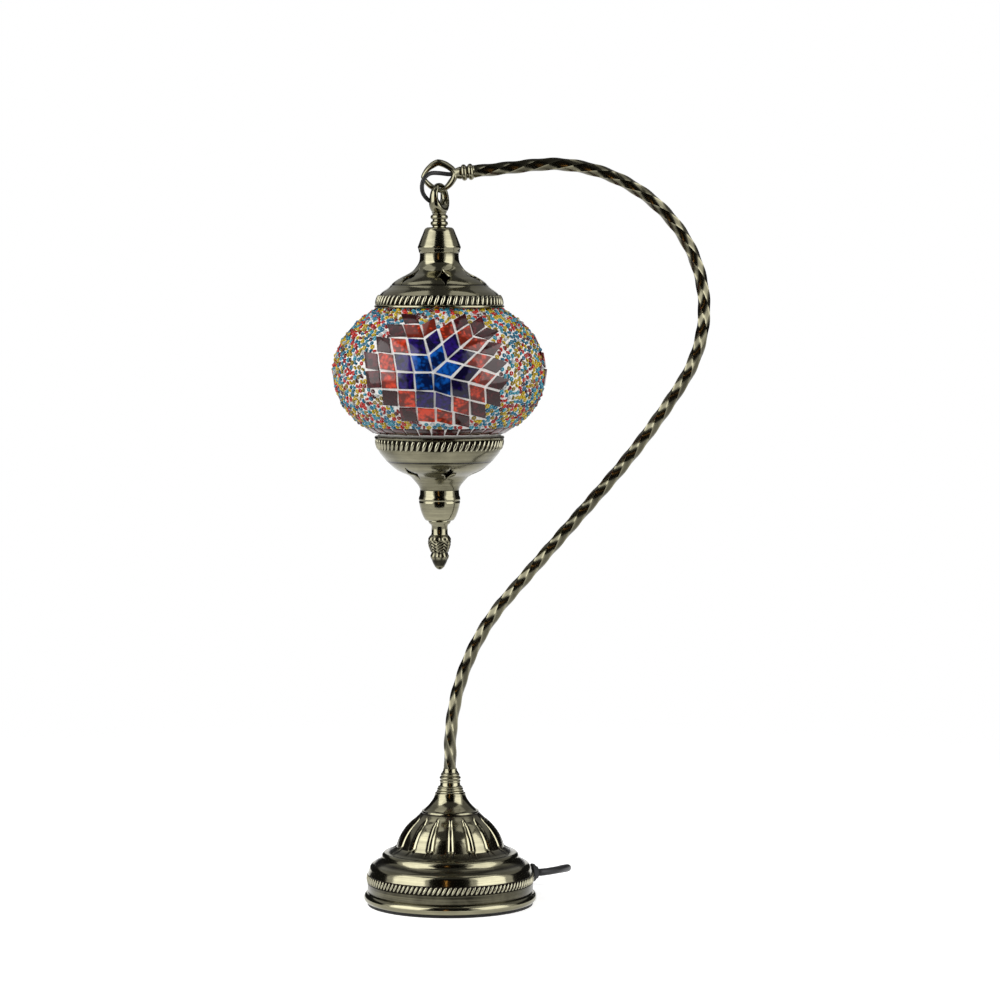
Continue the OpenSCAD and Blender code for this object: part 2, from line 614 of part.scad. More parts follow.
// Flat tile whose corners lie over four places on the globe, drawn in by the grout joint
module tile(corners, turn) {
  spots = [for (c = corners) on_globe(c[0], c[1], turn)];
  mid = (corners[0] + corners[1] + corners[2] + corners[3]) / 4;
  c = on_globe(mid[0], mid[1], turn);
  n = globe_normal(c);
  e = across(n, [0, 0, 1]);
  f = cross(n, e);
  flat = [for (p = spots) [(p - c) * e, (p - c) * f]];
  size = min([for (p = flat) norm(p)]);
  inset = 1 - tile_gap / size / 1.5;
  multmatrix([[e[0], f[0], n[0], c[0]], [e[1], f[1], n[1], c[1]], [e[2], f[2], n[2], c[2]], [0, 0, 0, 1]])
    linear_extrude(tile_t) polygon([for (p = flat) inset * p]);
}

// Star of rhombic tiles: five rays from a centre, tile (i, j) between two rays in ring i + j
star_rays = [104.6, 43, -15, -88, -182];
star_edge = globe_cut + 8;
function ray(k) = tile_side * [cos(star_rays[k % 5]), sin(star_rays[k % 5])];
module star_tiles(ring) for (m = [0 : medallions - 1]) for (k = [0 : 4]) for (i = [0 : ring]) {
  j = ring - i;
  a = ray(k);
  b = ray(k + 1);
  mid = (i + 0.5) * a + (j + 0.5) * b + [0, 1];
  corners = [for (d = [[0, 0], [1, 0], [1, 1], [0, 1]]) (i + d[0]) * a + (j + d[1]) * b + [0, 1]];
  reach = max([for (c = corners) abs(c[1])]);
  if (reach < star_edge - (mid[1] < 0 ? border_h + tile_gap : 0))
    tile(corners, star_turn + 360 * m / medallions);
}
module tiles_cobalt() color("#1f49c8") in_lantern(globe_z) star_tiles(0);
module tiles_navy() color("#1a2168") in_lantern(globe_z) star_tiles(1);
module tiles_red() color("#c0281c") in_lantern(globe_z) star_tiles(2);
module tiles_maroon() color("#5a141c") in_lantern(globe_z) star_tiles(3);

border_v = -star_edge + border_h / 2;
border_count = floor(2 * PI * meridian(meridian_angle(border_v))[0] / border_w);
module tiles_border() color("#641820") in_lantern(globe_z) for (i = [0 : border_count - 1])
  tile([for (d = [[-1, -1], [1, -1], [1, 1], [-1, 1]])
    [d[0] * border_w / 2, border_v + d[1] * border_h / 2]], 360 * i / border_count);

// Lower end of the lantern
low_cup_outline = [[neck_r - 3.3, 0], [neck_r - 1.7, 2.7], [neck_r, 7.8],
  [neck_r + 0.7, low_cup_h - 7.4], [neck_r + 0.7, low_cup_h - 4], [neck_r, low_cup_h]];
module bottom_cup() color(bronze) in_lantern(low_cup_z) difference() {
  turned(concat([[0, 0]], low_cup_outline, [[0, low_cup_h]]));
  translate([0, 0, sheet]) rotate_extrude() polygon(concat([[0, 0]],
    [for (p = low_cup_outline) p - [sheet, 0]], [[0, low_cup_h]]));
  translate([0, 0, -1]) cylinder(r = rod_r + fit, h = 4);
}
module finial_stem() color(bronze) in_lantern(finial_z) difference() {
  rotate_extrude() polygon([[0, 0], [5.2, 0], [4.9, 2.5], [4.9, stem_len - 2.6], [6.7, stem_len - 1.9],
                            [6.7, stem_len], [0, stem_len]]);
  translate([0, 0, -1]) cylinder(r = rod_r + fit, h = stem_len + 2);
}
rod_depth = 8;
module finial() color(bronze) in_lantern(finial_z) difference() {
  mirror([0, 0, 1]) turned([[0, 0], [finial_r - 1.4, 0], [finial_r - 0.3, 2], [finial_r, finial_len * 0.25],
    [finial_r - 0.6, finial_len * 0.36], [finial_r - 1.6, finial_len * 0.5],
    [finial_r - 1.5, finial_len * 0.6],
    [finial_r - 2.2, finial_len * 0.76], [2, finial_len * 0.94], [0, finial_len]]);
  translate([0, 0, -rod_depth]) cylinder(r = rod_r + fit, h = rod_depth + 1);
}
rod_nut_h = 3.2;
module finial_rod() color("#a8a8a2") in_lantern(finial_z - rod_depth + 0.2)
  cylinder(r = rod_r, h = rod_depth + stem_len + low_cup_h + sheet + rod_nut_h + 2);
module finial_nut() color("#a8a8a2") in_lantern(low_canopy_z + sheet) difference() {
  union() {
    cylinder(r = hanger_nipple_r + 3, h = 1);
    translate([0, 0, 1]) cylinder(r = 7 / sqrt(3), h = rod_nut_h, $fn = 6);
  }
  translate([0, 0, -1]) cylinder(r = rod_r + fit, h = rod_nut_h + 4);
}

// Mains cord: entry, switch, coil and plug behind the base
switch_c = [5, 65];
switch_right = switch_c[0] + switch_len / 2;
switch_left = switch_c[0] - switch_len / 2;
switch_z = switch_h / 2;
entry = [cos(cord_turn), sin(cord_turn), 0];
cord_up = [0, 0, cord_z];
coil_c = [-3, 118];
coil_z = 3.6;
coil_pitch = cord_d + coil_gap;
coil_all = 2 * coil_turns + 0.5;
// Straight end of the coil, where the cord's next stretch joins it
coil_lead = [0, 0.6, 0];

cord_run = concat(
  [for (d = [clamp_from - 3, shell_r - 8, shell_r + 4, shell_r + 9]) d * entry + cord_up],
  [[65, 23, 16.4], [70, 32, 16], [72.5, 42, 14.6], [71.5, 52, 12.4], [66, 60, 10]],
  [[57, 64.2, 8], [47, 65, 7]],
  [[switch_right + 2, switch_c[1], switch_z], [switch_right - 3, switch_c[1], switch_z]]
);
cord_link = concat(
  [[switch_left + 3, switch_c[1], switch_z], [switch_left - 3, switch_c[1], switch_z]],
  [[-32, 67, 5.8], [-38, 73, 4.8], [-41.4, 82, 4], [-42, 92, coil_z], [-42, 105, coil_z]],
  [coil_point(0) - coil_lead]
);
plug_start = [-9, 113, 17.6];
cord_tail = [
  coil_point(coil_all) - coil_lead, coil_point(coil_all) - 3 * coil_lead, [35.6, 109, 9.4],
  [32.6, 99.6, 11.2], [26, 92, 13.4], [16.6, 88.2, 15.6], [7, 88.6, 17], [-1.4, 92.8, 17.6],
  [-7, 100.6, 17.6], [-9, 108, 17.6], plug_start + [0, 3, 0]
];

// Coil: turns in on the lower layer, climbs in the half turn where it reverses, turns out on the upper one
loop_rings = 24;
function coil_radius(t) =
  t < coil_turns ? coil_r - coil_pitch * t
  : t > coil_turns + 0.5 ? coil_r - coil_pitch * (coil_all - t)
  : let (s = t - coil_turns) coil_r - coil_pitch * (coil_turns + s - 2 * s * s);
function coil_height(t) = coil_z + coil_pitch * max(0, min(1, 2 * (t - coil_turns)));
function coil_point(t) = [coil_c[0] + coil_radius(t) * cos(180 - 360 * t),
                          coil_c[1] + coil_radius(t) * sin(180 - 360 * t), coil_height(t)];
coil_path = concat([coil_point(0) - coil_lead],
  [for (i = [0 : coil_all * loop_rings]) coil_point(i / loop_rings)], [coil_point(coil_all) - coil_lead]);
coil_least = min([for (i = [0 : len(coil_path) - 1]) for (j = [i + loop_rings / 2 : len(coil_path) - 1])
  norm(coil_path[i] - coil_path[j])]) - cord_d;
echo(least_gap_of_the_coil = coil_least);

module mains_cord_run() color(black) tube(cord_run, cord_r, 8, [0, 0, 1]);
module mains_cord_link() color(black) tube(cord_link, cord_r, 8, [0, 0, 1]);
module mains_cord_tail() color(black) tube(cord_tail, cord_r, 8, [0, 0, 1]);
module cord_coil() color(black) tube(coil_path, cord_r, 6, [0, 0, 1]);

tie_turn = 27;
tie_w = 6;
tie_t = 0.8;
tie_in = coil_r - coil_pitch * (coil_turns + 0.25) - cord_r - play;
tie_out = coil_r + cord_r + play;
tie_low = coil_z - cord_r - play;
tie_high = coil_z + coil_pitch + cord_r + play;
module coil_tie() color("#2a2a2c") translate([coil_c[0], coil_c[1], 0]) rotate([0, 0, tie_turn])
  difference() {
    translate([tie_in - tie_t, -tie_w / 2, tie_low - tie_t])
      cube([tie_out - tie_in + 2 * tie_t, tie_w, tie_high - tie_low + 2 * tie_t]);
    translate([tie_in, -tie_w, tie_low]) cube([tie_out - tie_in, 2 * tie_w, tie_high - tie_low]);
  }

// In-line switch: two halves, a rocker on a pin and two screws
rocker_len = 14;
rocker_w = 8;
pin_r = 0.9;
pin_z = switch_h - 3;
screw_x = switch_len / 2 - 8;
switch_wall = 1.6;
module switch_box(z, h) translate([switch_c[0], switch_c[1], z]) linear_extrude(h) union() {
  square([switch_len - switch_w, switch_w], center = true);
  for (s = [-1, 1]) translate([s * (switch_len - switch_w) / 2, 0]) circle(d = switch_w);
}
module switch_room(z, h)
  translate([switch_c[0] - rocker_len / 2 - 3, switch_c[1] - switch_w / 2 + switch_wall, z])
    cube([rocker_len + 6, switch_w - 2 * switch_wall, h]);
module switch_bores() union() {
  for (x = [switch_left - 5, switch_right - 3.5])
    translate([x, switch_c[1], switch_z]) rotate([0, 90, 0]) cylinder(r = cord_r + fit, h = 8.5);
}
module at_screws(z) for (s = [-1, 1])
  translate([switch_c[0] + s * screw_x, switch_c[1] - s * switch_w / 4, z]) children();
screw_r = 1.2;
module switch_base() color("#202022") difference() {
  switch_box(0, switch_z);
  switch_room(switch_wall, switch_h);
  switch_bores();
  at_screws(-1) cylinder(r = 2.5, h = 2.8);
  at_screws(0) cylinder(r = screw_r + fit, h = switch_h);
}
module switch_cover() color("#202022") difference() {
  switch_box(switch_z, switch_h - switch_z);
  switch_room(switch_z - 1, switch_h - switch_z + 1 - switch_wall);
  switch_bores();
  translate([switch_c[0] - rocker_len / 2 - play, switch_c[1] - rocker_w / 2 - play, switch_z])
    cube([rocker_len + 2 * play, rocker_w + 2 * play, switch_h]);
  translate([switch_c[0], switch_c[1] + switch_w / 2 - switch_wall / 2, pin_z]) rotate([90, 0, 0])
    cylinder(r = pin_r + fit, h = switch_w - switch_wall);
  at_screws(0) cylinder(r = screw_r + fit, h = switch_h - 2.5);
}
module rocker_pin() color("#b9b9b4")
  translate([switch_c[0], switch_c[1] + switch_w / 2 - switch_wall / 2 - fit, pin_z]) rotate([90, 0, 0])
    cylinder(r = pin_r, h = switch_w - switch_wall - 2 * fit);
rocker_r = 16;
rocker_tip = 8;
module switch_rocker() color("#2c2c30")
  translate([switch_c[0], switch_c[1], pin_z]) rotate([0, -rocker_tip, 0]) rotate([90, 0, 0]) difference() {
    translate([0, 0, -rocker_w / 2]) linear_extrude(rocker_w) difference() {
      translate([-rocker_len / 2 + 0.6, -2.4]) square([rocker_len - 1.2, 6.2]);
      translate([0, rocker_r + 2.6]) circle(r = rocker_r);
    }
    translate([0, 0, -rocker_w]) cylinder(r = pin_r + fit, h = 2 * rocker_w);
  }
module switch_screws() color("#b9b9b4") at_screws(0.4) union() {
  cylinder(r = 2.3, h = 1.3);
  cylinder(r = screw_r, h = switch_h - 4);
}

// Plug: a moulded body with two flat blades
blade_len = 16;
module plug_body() color("#18181a") translate([plug_start[0], plug_start[1], plug_start[2]]) difference() {
  union() {
    rotate([-90, 0, 0]) cylinder(r1 = cord_r + 1, r2 = cord_r + 2, h = 9);
    translate([0, 8, -plug_h / 2]) linear_extrude(plug_h)
      polygon([[-cord_r - 2, 0], [cord_r + 2, 0], [plug_w / 2, 10], [plug_w / 2, plug_len - 8],
               [-plug_w / 2, plug_len - 8], [-plug_w / 2, 10]]);
  }
  translate([0, -1, 0]) rotate([-90, 0, 0]) cylinder(r = cord_r + fit, h = 4.5);
}
blade_gap = 12.7;
module plug_blades() color("#c9b26a") for (s = [-1, 1])
  translate([plug_start[0] + s * blade_gap / 2 - 0.75, plug_start[1] + plug_len, plug_start[2] - 3.2])
    cube([1.5, blade_len, 6.4]);

felt_pad();
base_pan();
base_weight();
base_shell();
stem_washer();
stem_lock_nut();
stem_nipple();
stem_collar();
swan_arm();
arm_ring();
lead_in_arm();
wire_connectors();
cord_grommet();
cord_clamp();
lead_jumper();
hanger_loop();
hanger_nipple();
top_cup();
top_canopy();
canopy_nut();
lead_in_lantern();
holder_cap();
holder_body();
holder_contact();
bulb_cap();
bulb_glass();
top_bedding();
globe_glass_upper();
globe_glass_lower_left();
globe_glass_lower_right();
mosaic_grout();
tiles_cobalt();
tiles_navy();
tiles_red();
tiles_maroon();
tiles_border();
bottom_bedding();
bottom_canopy();
bottom_cup();
finial_stem();
finial();
finial_rod();
finial_nut();
mains_cord_run();
switch_base();
switch_cover();
switch_rocker();
rocker_pin();
switch_screws();
mains_cord_link();
cord_coil();
coil_tie();
mains_cord_tail();
plug_body();
plug_blades();
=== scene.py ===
# %% [markdown]
# # A swan-neck mosaic lamp, dressed
# The lamp is built elsewhere as solids, in millimetres, and packed as a frame of bodies and joints. This
# lesson loads that frame, keeps it where it is, and makes each visible piece again with the detail of the
# real one: turned bronze, a twisted arm, stained glass and glass beads in white grout. All places are the
# frame's own. The lamp's sizes are written in millimetres, which MM turns into the frame's metres, and the
# studio's are in metres.

# %% The frame
import bpy
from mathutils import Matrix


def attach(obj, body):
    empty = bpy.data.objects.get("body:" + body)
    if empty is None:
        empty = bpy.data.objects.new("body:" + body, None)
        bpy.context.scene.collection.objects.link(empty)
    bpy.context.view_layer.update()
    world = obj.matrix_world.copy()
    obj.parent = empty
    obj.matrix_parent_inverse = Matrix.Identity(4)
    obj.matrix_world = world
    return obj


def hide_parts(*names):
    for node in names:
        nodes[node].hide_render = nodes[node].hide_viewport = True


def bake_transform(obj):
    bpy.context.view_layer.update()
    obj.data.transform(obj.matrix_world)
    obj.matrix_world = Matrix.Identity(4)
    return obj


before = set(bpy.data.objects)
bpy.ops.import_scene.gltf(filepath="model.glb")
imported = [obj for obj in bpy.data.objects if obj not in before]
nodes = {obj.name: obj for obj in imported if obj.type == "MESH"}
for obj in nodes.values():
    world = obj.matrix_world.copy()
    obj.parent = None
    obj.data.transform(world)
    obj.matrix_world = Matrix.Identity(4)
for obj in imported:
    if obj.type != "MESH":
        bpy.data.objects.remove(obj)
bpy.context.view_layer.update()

import bpy, bmesh, math, random
from mathutils import Matrix, Vector
from mathutils.kdtree import KDTree

MM = 0.001

# %% [markdown]
# ## Main places
# The lantern hangs on one upright axis, left of the base's. Its heights are worked out downwards from the
# foot of the hanger: cup, upper lip, globe, lower lip, lower cup and finial. All are in millimetres.

# %% Places of the lantern
LANTERN_X = -6.284
NECK_H, CUP_H, LOW_CUP_H, STEM_H, GLOBE_GAP = 33.2, 15.6, 18.4, 9.2, 77.0
HANGER_FOOT = 412.039
CUP_FOOT = HANGER_FOOT - CUP_H
LIP_TOP = CUP_FOOT - NECK_H
LIP_LOW = LIP_TOP - GLOBE_GAP
LOW_CUP_FOOT = LIP_LOW - NECK_H - LOW_CUP_H
FINIAL_TOP = LOW_CUP_FOOT - STEM_H
ON_AXIS = (LANTERN_X, 0, 0)
print("foot of the hanger at", HANGER_FOOT, "mm, top of the finial's bud at", round(FINIAL_TOP, 3), "mm")

# %% [markdown]
# ## Tools
# Objects and node trees are made in many places below. These functions keep each of them short.

# %% Tools for objects and node trees
def linked(name, data):
    """An object with this data, put into the scene."""
    obj = bpy.data.objects.new(name, data)
    bpy.context.scene.collection.objects.link(obj)
    return obj


def feed(tree, node, inputs):
    """Sets a node's inputs; an input is a value, or a pair of node and output to link from."""
    for key, value in inputs.items():
        if isinstance(value, tuple) and isinstance(value[0], bpy.types.Node):
            tree.links.new(value[0].outputs[value[1]], node.inputs[key])
        else:
            node.inputs[key].default_value = value


def add(tree, kind, settings=None, inputs=None):
    """Adds a node with its settings and inputs."""
    node = tree.nodes.new(kind)
    for key, value in (settings or {}).items():
        setattr(node, key, value)
    feed(tree, node, inputs or {})
    return node


def math_node(tree, operation, a, b=0.0, clamp=False):
    return add(tree, "ShaderNodeMath", {"operation": operation, "use_clamp": clamp}, {0: a, 1: b})


def vector_math(tree, operation, inputs):
    return add(tree, "ShaderNodeVectorMath", {"operation": operation}, inputs)


def combine(tree, **parts):
    return add(tree, "ShaderNodeCombineXYZ", None, parts)


def map_range(tree, value, low, high, to_low=0.0, to_high=1.0, kind="LINEAR"):
    return add(tree, "ShaderNodeMapRange", {"interpolation_type": kind},
               {"Value": value, "From Min": low, "From Max": high, "To Min": to_low, "To Max": to_high})


def new_tree(name, kind, inputs, outputs):
    """An empty tree with its input and output nodes; inputs are (name, kind, value), outputs (name, kind)."""
    tree = bpy.data.node_groups.new(name, kind)
    for title, socket_kind, value in inputs:
        socket = tree.interface.new_socket(title, in_out="INPUT", socket_type="NodeSocket" + socket_kind)
        if value is not None:
            socket.default_value = value
    for title, socket_kind in outputs:
        tree.interface.new_socket(title, in_out="OUTPUT", socket_type="NodeSocket" + socket_kind)
    return tree, tree.nodes.new("NodeGroupInput"), tree.nodes.new("NodeGroupOutput")


def bare_material(name):
    """A material with an empty tree."""
    mat = bpy.data.materials.new(name)
    mat.use_nodes = True
    mat.node_tree.nodes.clear()
    return mat, mat.node_tree


print("tools ready")

# %% [markdown]
# ## Camera
# The photograph looks at the lamp nearly level, from about two metres, a little above the middle. A long
# lens keeps the base ellipse flat. The cord's unseen length has to stay out of the camera's view.

# %% The camera
LOOK_AT = Vector((30.4, 0, 247)) * MM
CAMERA_FAR = 2.05
CAMERA_UP = 0.129
WIDE = 0.607


def photo_camera():
    data = bpy.data.cameras.new("photo_camera")
    cam = linked("photo_camera", data)
    cam.location = LOOK_AT + Vector((0, -CAMERA_FAR, CAMERA_UP))
    aim = LOOK_AT - cam.location
    cam.rotation_euler = aim.to_track_quat("-Z", "Y").to_euler()
    data.sensor_fit = "HORIZONTAL"
    data.angle = 2 * math.atan(WIDE / 2 / aim.length)
    data.clip_end = 30
    bpy.context.scene.camera = cam
    return cam


camera = photo_camera()
print("field of view", round(math.degrees(camera.data.angle), 2), "degrees")

# %% [markdown]
# ## Studio
# Polished metal shows the room more than itself. The photograph's lamp shows two broad soft boxes, one on
# each side, a dark gap between them, and dark edges. So the studio has two soft boxes with a smaller one
# above each, a thin warm strip, a dark curtain behind the camera, dark cards at the sides and a grey
# ceiling. The cards only show in reflections. The white of the background is the world's own, for what
# looks straight at it, in a mirror or through glass, and the light that falls on the lamp is set apart
# from it.

# %% World and floor
def looked_at(t):
    """1 for rays that see a surface directly, in a reflection or through glass; 0 for the rest."""
    path = add(t, "ShaderNodeLightPath")
    first = math_node(t, "MAXIMUM", (path, "Is Camera Ray"), (path, "Is Glossy Ray"))
    return math_node(t, "MAXIMUM", (first, 0), (path, "Is Transmission Ray"))


def white_world(fill):
    """White to look at, and as bright as fill where it lights the lamp."""
    world = bpy.data.worlds.new("white_studio")
    world.use_nodes = True
    bpy.context.scene.world = world
    t = world.node_tree
    t.nodes.clear()
    level = map_range(t, (looked_at(t), 0), 0.0, 1.0, fill)
    back = add(t, "ShaderNodeBackground", None, {"Color": (1, 1, 1, 1), "Strength": (level, "Result")})
    add(t, "ShaderNodeOutputWorld", None, {"Surface": (back, 0)})


def pale_floor(radius, lift):
    """A round floor, lifted to white where it is looked at, that fades into the world before its edge."""
    mesh = bpy.data.meshes.new("studio_floor")
    bm = bmesh.new()
    bmesh.ops.create_circle(bm, cap_ends=True, segments=96, radius=radius)
    bm.to_mesh(mesh)
    bm.free()
    mat, t = bare_material("pale_floor")
    where = add(t, "ShaderNodeTexCoord")
    far = vector_math(t, "LENGTH", {0: (where, "Object")})
    fade = map_range(t, (far, "Value"), 0.06 * radius, 0.3 * radius, kind="SMOOTHSTEP")
    matt = add(t, "ShaderNodeBsdfDiffuse", None, {"Color": (0.9, 0.9, 0.9, 1)})
    level = math_node(t, "MULTIPLY", (looked_at(t), 0), lift)
    glow = add(t, "ShaderNodeEmission", None, {"Strength": (level, 0)})
    both = add(t, "ShaderNodeAddShader", None, {0: (matt, 0), 1: (glow, 0)})
    clear = add(t, "ShaderNodeBsdfTransparent")
    mix = add(t, "ShaderNodeMixShader", None, {"Fac": (fade, "Result"), 1: (both, 0), 2: (clear, 0)})
    add(t, "ShaderNodeOutputMaterial", None, {"Surface": (mix, 0)})
    mesh.materials.append(mat)
    linked("studio_floor", mesh)


white_world(0.16)
pale_floor(3.0, 0.6)
print("world and floor ready")


# %% Tools for cards and lamps
def card(name, corners, grey):
    """A flat card that shows in reflections only, as bright as its grey says."""
    mesh = bpy.data.meshes.new(name)
    mesh.from_pydata(corners, [], [(0, 1, 2, 3)])
    mat, t = bare_material(name + "_cloth")
    cloth = add(t, "ShaderNodeEmission", None, {"Color": (grey, grey, grey, 1)})
    add(t, "ShaderNodeOutputMaterial", None, {"Surface": (cloth, 0)})
    mesh.materials.append(mat)
    obj = linked(name, mesh)
    obj.visible_camera = obj.visible_diffuse = obj.visible_shadow = False


def toward(angle, far):
    """A place on the floor at an angle in degrees from the camera's side."""
    return Vector((far * math.sin(math.radians(angle)), -far * math.cos(math.radians(angle)), 0))


def upright(name, angle_from, angle_to, far, low, high, grey):
    """An upright card between two directions and two heights."""
    a, b = toward(angle_from, far), toward(angle_to, far)
    card(name, [(*a.xy, low), (*b.xy, low), (*b.xy, high), (*a.xy, high)], grey)


def level_card(name, height, corners, grey):
    """A level card at a height."""
    card(name, [(x, y, height) for x, y in corners], grey)


def soft_box(name, angle, far, size, glow, colour=(1, 1, 1), up=0.6):
    """A soft box that looks at the lamp; glow is how bright its cloth looks."""
    data = bpy.data.lights.new(name, "AREA")
    data.shape = "RECTANGLE"
    data.size, data.size_y = size
    data.energy = glow * math.pi * size[0] * size[1]
    data.color = colour
    lamp = linked(name, data)
    lamp.location = toward(angle, far) + Vector((0, 0, up))
    lamp.rotation_euler = (Vector((0, 0, 0.3)) - lamp.location).to_track_quat("-Z", "Y").to_euler()
    lamp.visible_camera = False


print("studio tools ready")

# %% The studio's cards and lamps
ROOM_H = 3.2
upright("front_curtain", -30, 30, 2.9, 0.0, ROOM_H, 0.006)
upright("left_card", -100, -168, 2.6, 0.0, 1.1, 0.02)
upright("right_card", 100, 168, 2.6, 0.0, 1.1, 0.02)
upright("left_back_card", -100, -168, 2.7, 1.1, ROOM_H, 0.42)
upright("right_back_card", 100, 168, 2.7, 1.1, ROOM_H, 0.34)
upright("back_card", 168, 192, 2.7, 1.0, ROOM_H, 0.06)
level_card("grey_ceiling", ROOM_H, ((-2.6, -2.9), (2.6, -2.9), (2.6, 2.9), (-2.6, 2.9)), 0.1)
level_card("front_mat", 0.003, ((-0.26, -0.45), (0.26, -0.45), (1.45, -2.5), (-1.45, -2.5)), 0.008)
soft_box("left_box", -62, 1.4, (1.4, 1.8), 3.0, up=0.8)
soft_box("right_box", 63, 1.4, (1.2, 1.7), 2.7, up=0.75)
soft_box("left_top_box", -96, 0.95, (1.2, 1.2), 1.2, up=2.3)
soft_box("right_top_box", 96, 0.95, (1.2, 1.2), 1.0, up=2.3)
soft_box("warm_strip", -5, 2.4, (0.06, 1.2), 2.8, (1, 0.5, 0.14))
bpy.context.scene.view_settings.view_transform = "Standard"

# %% [markdown]
# ## Tubes and turned shapes
# Two helpers make most of the plain shapes. A tube carries a ring of points along a path, turning it as
# little as it can, so that it never twists by itself. A turned shape spins an outline of radius and
# height round an upright axis, as a lathe would.

# %% Pieces and their shading
def shade(bm, angle):
    """Smooth shading but for edges sharper than an angle in degrees."""
    bmesh.ops.recalc_face_normals(bm, faces=bm.faces)
    for f in bm.faces:
        f.smooth = True
    for e in bm.edges:
        e.smooth = len(e.link_faces) != 2 or e.calc_face_angle() < math.radians(angle)


def new_piece(name, bm, material, smooth=40):
    """Turns a bmesh into an object at the origin, smooth but for edges sharper than an angle."""
    bmesh.ops.remove_doubles(bm, verts=bm.verts, dist=1e-7)
    shade(bm, smooth)
    mesh = bpy.data.meshes.new(name)
    bm.to_mesh(mesh)
    bm.free()
    mesh.materials.append(material)
    return linked(name, mesh)


def blacken(mesh, share):
    """Writes where the colour is darkened, as black bath and as painted shade: share is a function of a place
    in millimetres.
    """
    bath_and_shade = mesh.attributes.new("bath_and_shade", "FLOAT", "POINT")
    for v in mesh.vertices:
        bath_and_shade.data[v.index].value = share(*(v.co / MM))


def put_on(piece, body, slot, *replaced):
    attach(piece, body)
    if replaced:
        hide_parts(*replaced)
    print(piece.name, len(piece.data.polygons), "faces on", body)
    return piece


print("piece tools ready")

# %% Paths and tubes
def smooth_path(points, steps):
    """A curve through all points, each span cut in equal steps."""
    p = [Vector(q) for q in points]
    p = [2 * p[0] - p[1]] + p + [2 * p[-1] - p[-2]]
    out = []
    for i in range(1, len(p) - 2):
        a, b, c, d = p[i - 1:i + 3]
        for k in range(steps):
            t = k / steps
            out.append(0.5 * (2 * b + (c - a) * t + (2 * a - 5 * b + 4 * c - d) * t ** 2
                              + (3 * b - a - 3 * c + d) * t ** 3))
    return out + [p[-2]]


def length_of(path):
    return sum((b - a).length for a, b in zip(path, path[1:]))


def frames_along(path, first):
    """Heading and side of a ring at each point, the side carried on with no twist of its own."""
    side = Vector(first)
    for i, p in enumerate(path):
        ahead = (path[min(i + 1, len(path) - 1)] - path[max(i - 1, 0)]).normalized()
        side = (side - ahead * side.dot(ahead)).normalized()
        yield p, ahead, side


def tube(bm, path, radius, sides, first=(0, 0, 1)):
    """Adds a closed tube to a bmesh; radius is one number, or a function of the share of the length."""
    rings = []
    for i, (p, ahead, side) in enumerate(frames_along(path, first)):
        r = radius(i / (len(path) - 1)) if callable(radius) else radius
        turn = ahead.cross(side)
        rings.append([bm.verts.new(p + r * (math.cos(a) * side + math.sin(a) * turn))
                      for a in (2 * math.pi * k / sides for k in range(sides))])
    for a, b in zip(rings, rings[1:]):
        for k in range(sides):
            bm.faces.new((a[k], a[(k + 1) % sides], b[(k + 1) % sides], b[k]))
    bm.faces.new(rings[0][::-1])
    bm.faces.new(rings[-1])


print("tube tools ready")

# %% Turned shapes
def turned(bm, outline, sides, at=(0, 0, 0), ripple=None):
    """Adds a turned skin to a bmesh; outline is (radius, height) in mm, and ripple may move a radius."""
    at = Vector(at)
    rings = []
    for r, z in outline:
        if r < 1e-6:
            rings.append([bm.verts.new((at + Vector((0, 0, z))) * MM)] * sides)
            continue
        ring = []
        for k in range(sides):
            a = 2 * math.pi * k / sides
            q = r + (ripple(a, r, z) if ripple else 0)
            ring.append(bm.verts.new((at + Vector((q * math.cos(a), q * math.sin(a), z))) * MM))
        rings.append(ring)
    for a, b in zip(rings, rings[1:]):
        for k in range(sides):
            n = (k + 1) % sides
            corners = list(dict.fromkeys((a[k], a[n], b[n], b[k])))
            if len(corners) > 2:
                bm.faces.new(corners)


def arc_points(centre, radius, start, end, count):
    """Points of an outline on an arc, angles in degrees."""
    return [(centre[0] + radius * math.cos(a), centre[1] + radius * math.sin(a))
            for a in (math.radians(start + (end - start) * i / count) for i in range(count + 1))]


def turned_piece(name, outline, sides, material, smooth, at=(0, 0, 0)):
    bm = bmesh.new()
    turned(bm, outline, sides, at)
    return new_piece(name, bm, material, smooth)


print("lathe ready")

# %% [markdown]
# ## Route of the mains cord
# A table lamp of this kind has about 1.8 m of round black cord. The photograph shows only its first few
# centimetres, which leave a rubber bush at the back right of the base. The rest is put away behind the
# base, where the camera doesn't see it: it runs to a hand switch, then into a tied coil with the plug on
# top. The points are those of the solids, joined here by a smooth curve.

# %% The route of the cord
CORD_D = 4.6
BUSH_TURN, BUSH_Z = 15, 16.5
COIL_MID, COIL_LOW, COIL_R, COIL_PITCH, COIL_TURNS, COIL_STEPS = (-3, 118), 3.6, 39, 5.1, 4, 16
OUT = Vector((math.cos(math.radians(BUSH_TURN)), math.sin(math.radians(BUSH_TURN)), 0))
run_points = [d * OUT + Vector((0, 0, BUSH_Z)) for d in (30, 42, 54, 59)] + [Vector(p) for p in (
    (65, 23, 16.4), (70, 32, 16), (72.5, 42, 14.6), (71.5, 52, 12.4), (66, 60, 10), (57, 64.2, 8),
    (47, 65, 7), (34, 65, 6.8), (29, 65, 6.8))]
link_points = [Vector(p) for p in (
    (-19, 65, 6.8), (-25, 65, 6.8), (-32, 67, 5.8), (-38, 73, 4.8), (-41.4, 82, 4), (-42, 92, 3.6),
    (-42, 105, 3.6))]
tail_points = [Vector(p) for p in (
    (35.6, 109, 9.4), (32.6, 99.6, 11.2), (26, 92, 13.4), (16.6, 88.2, 15.6), (7, 88.6, 17),
    (-1.4, 92.8, 17.6), (-7, 100.6, 17.6), (-9, 108, 17.6), (-9, 116, 17.6))]


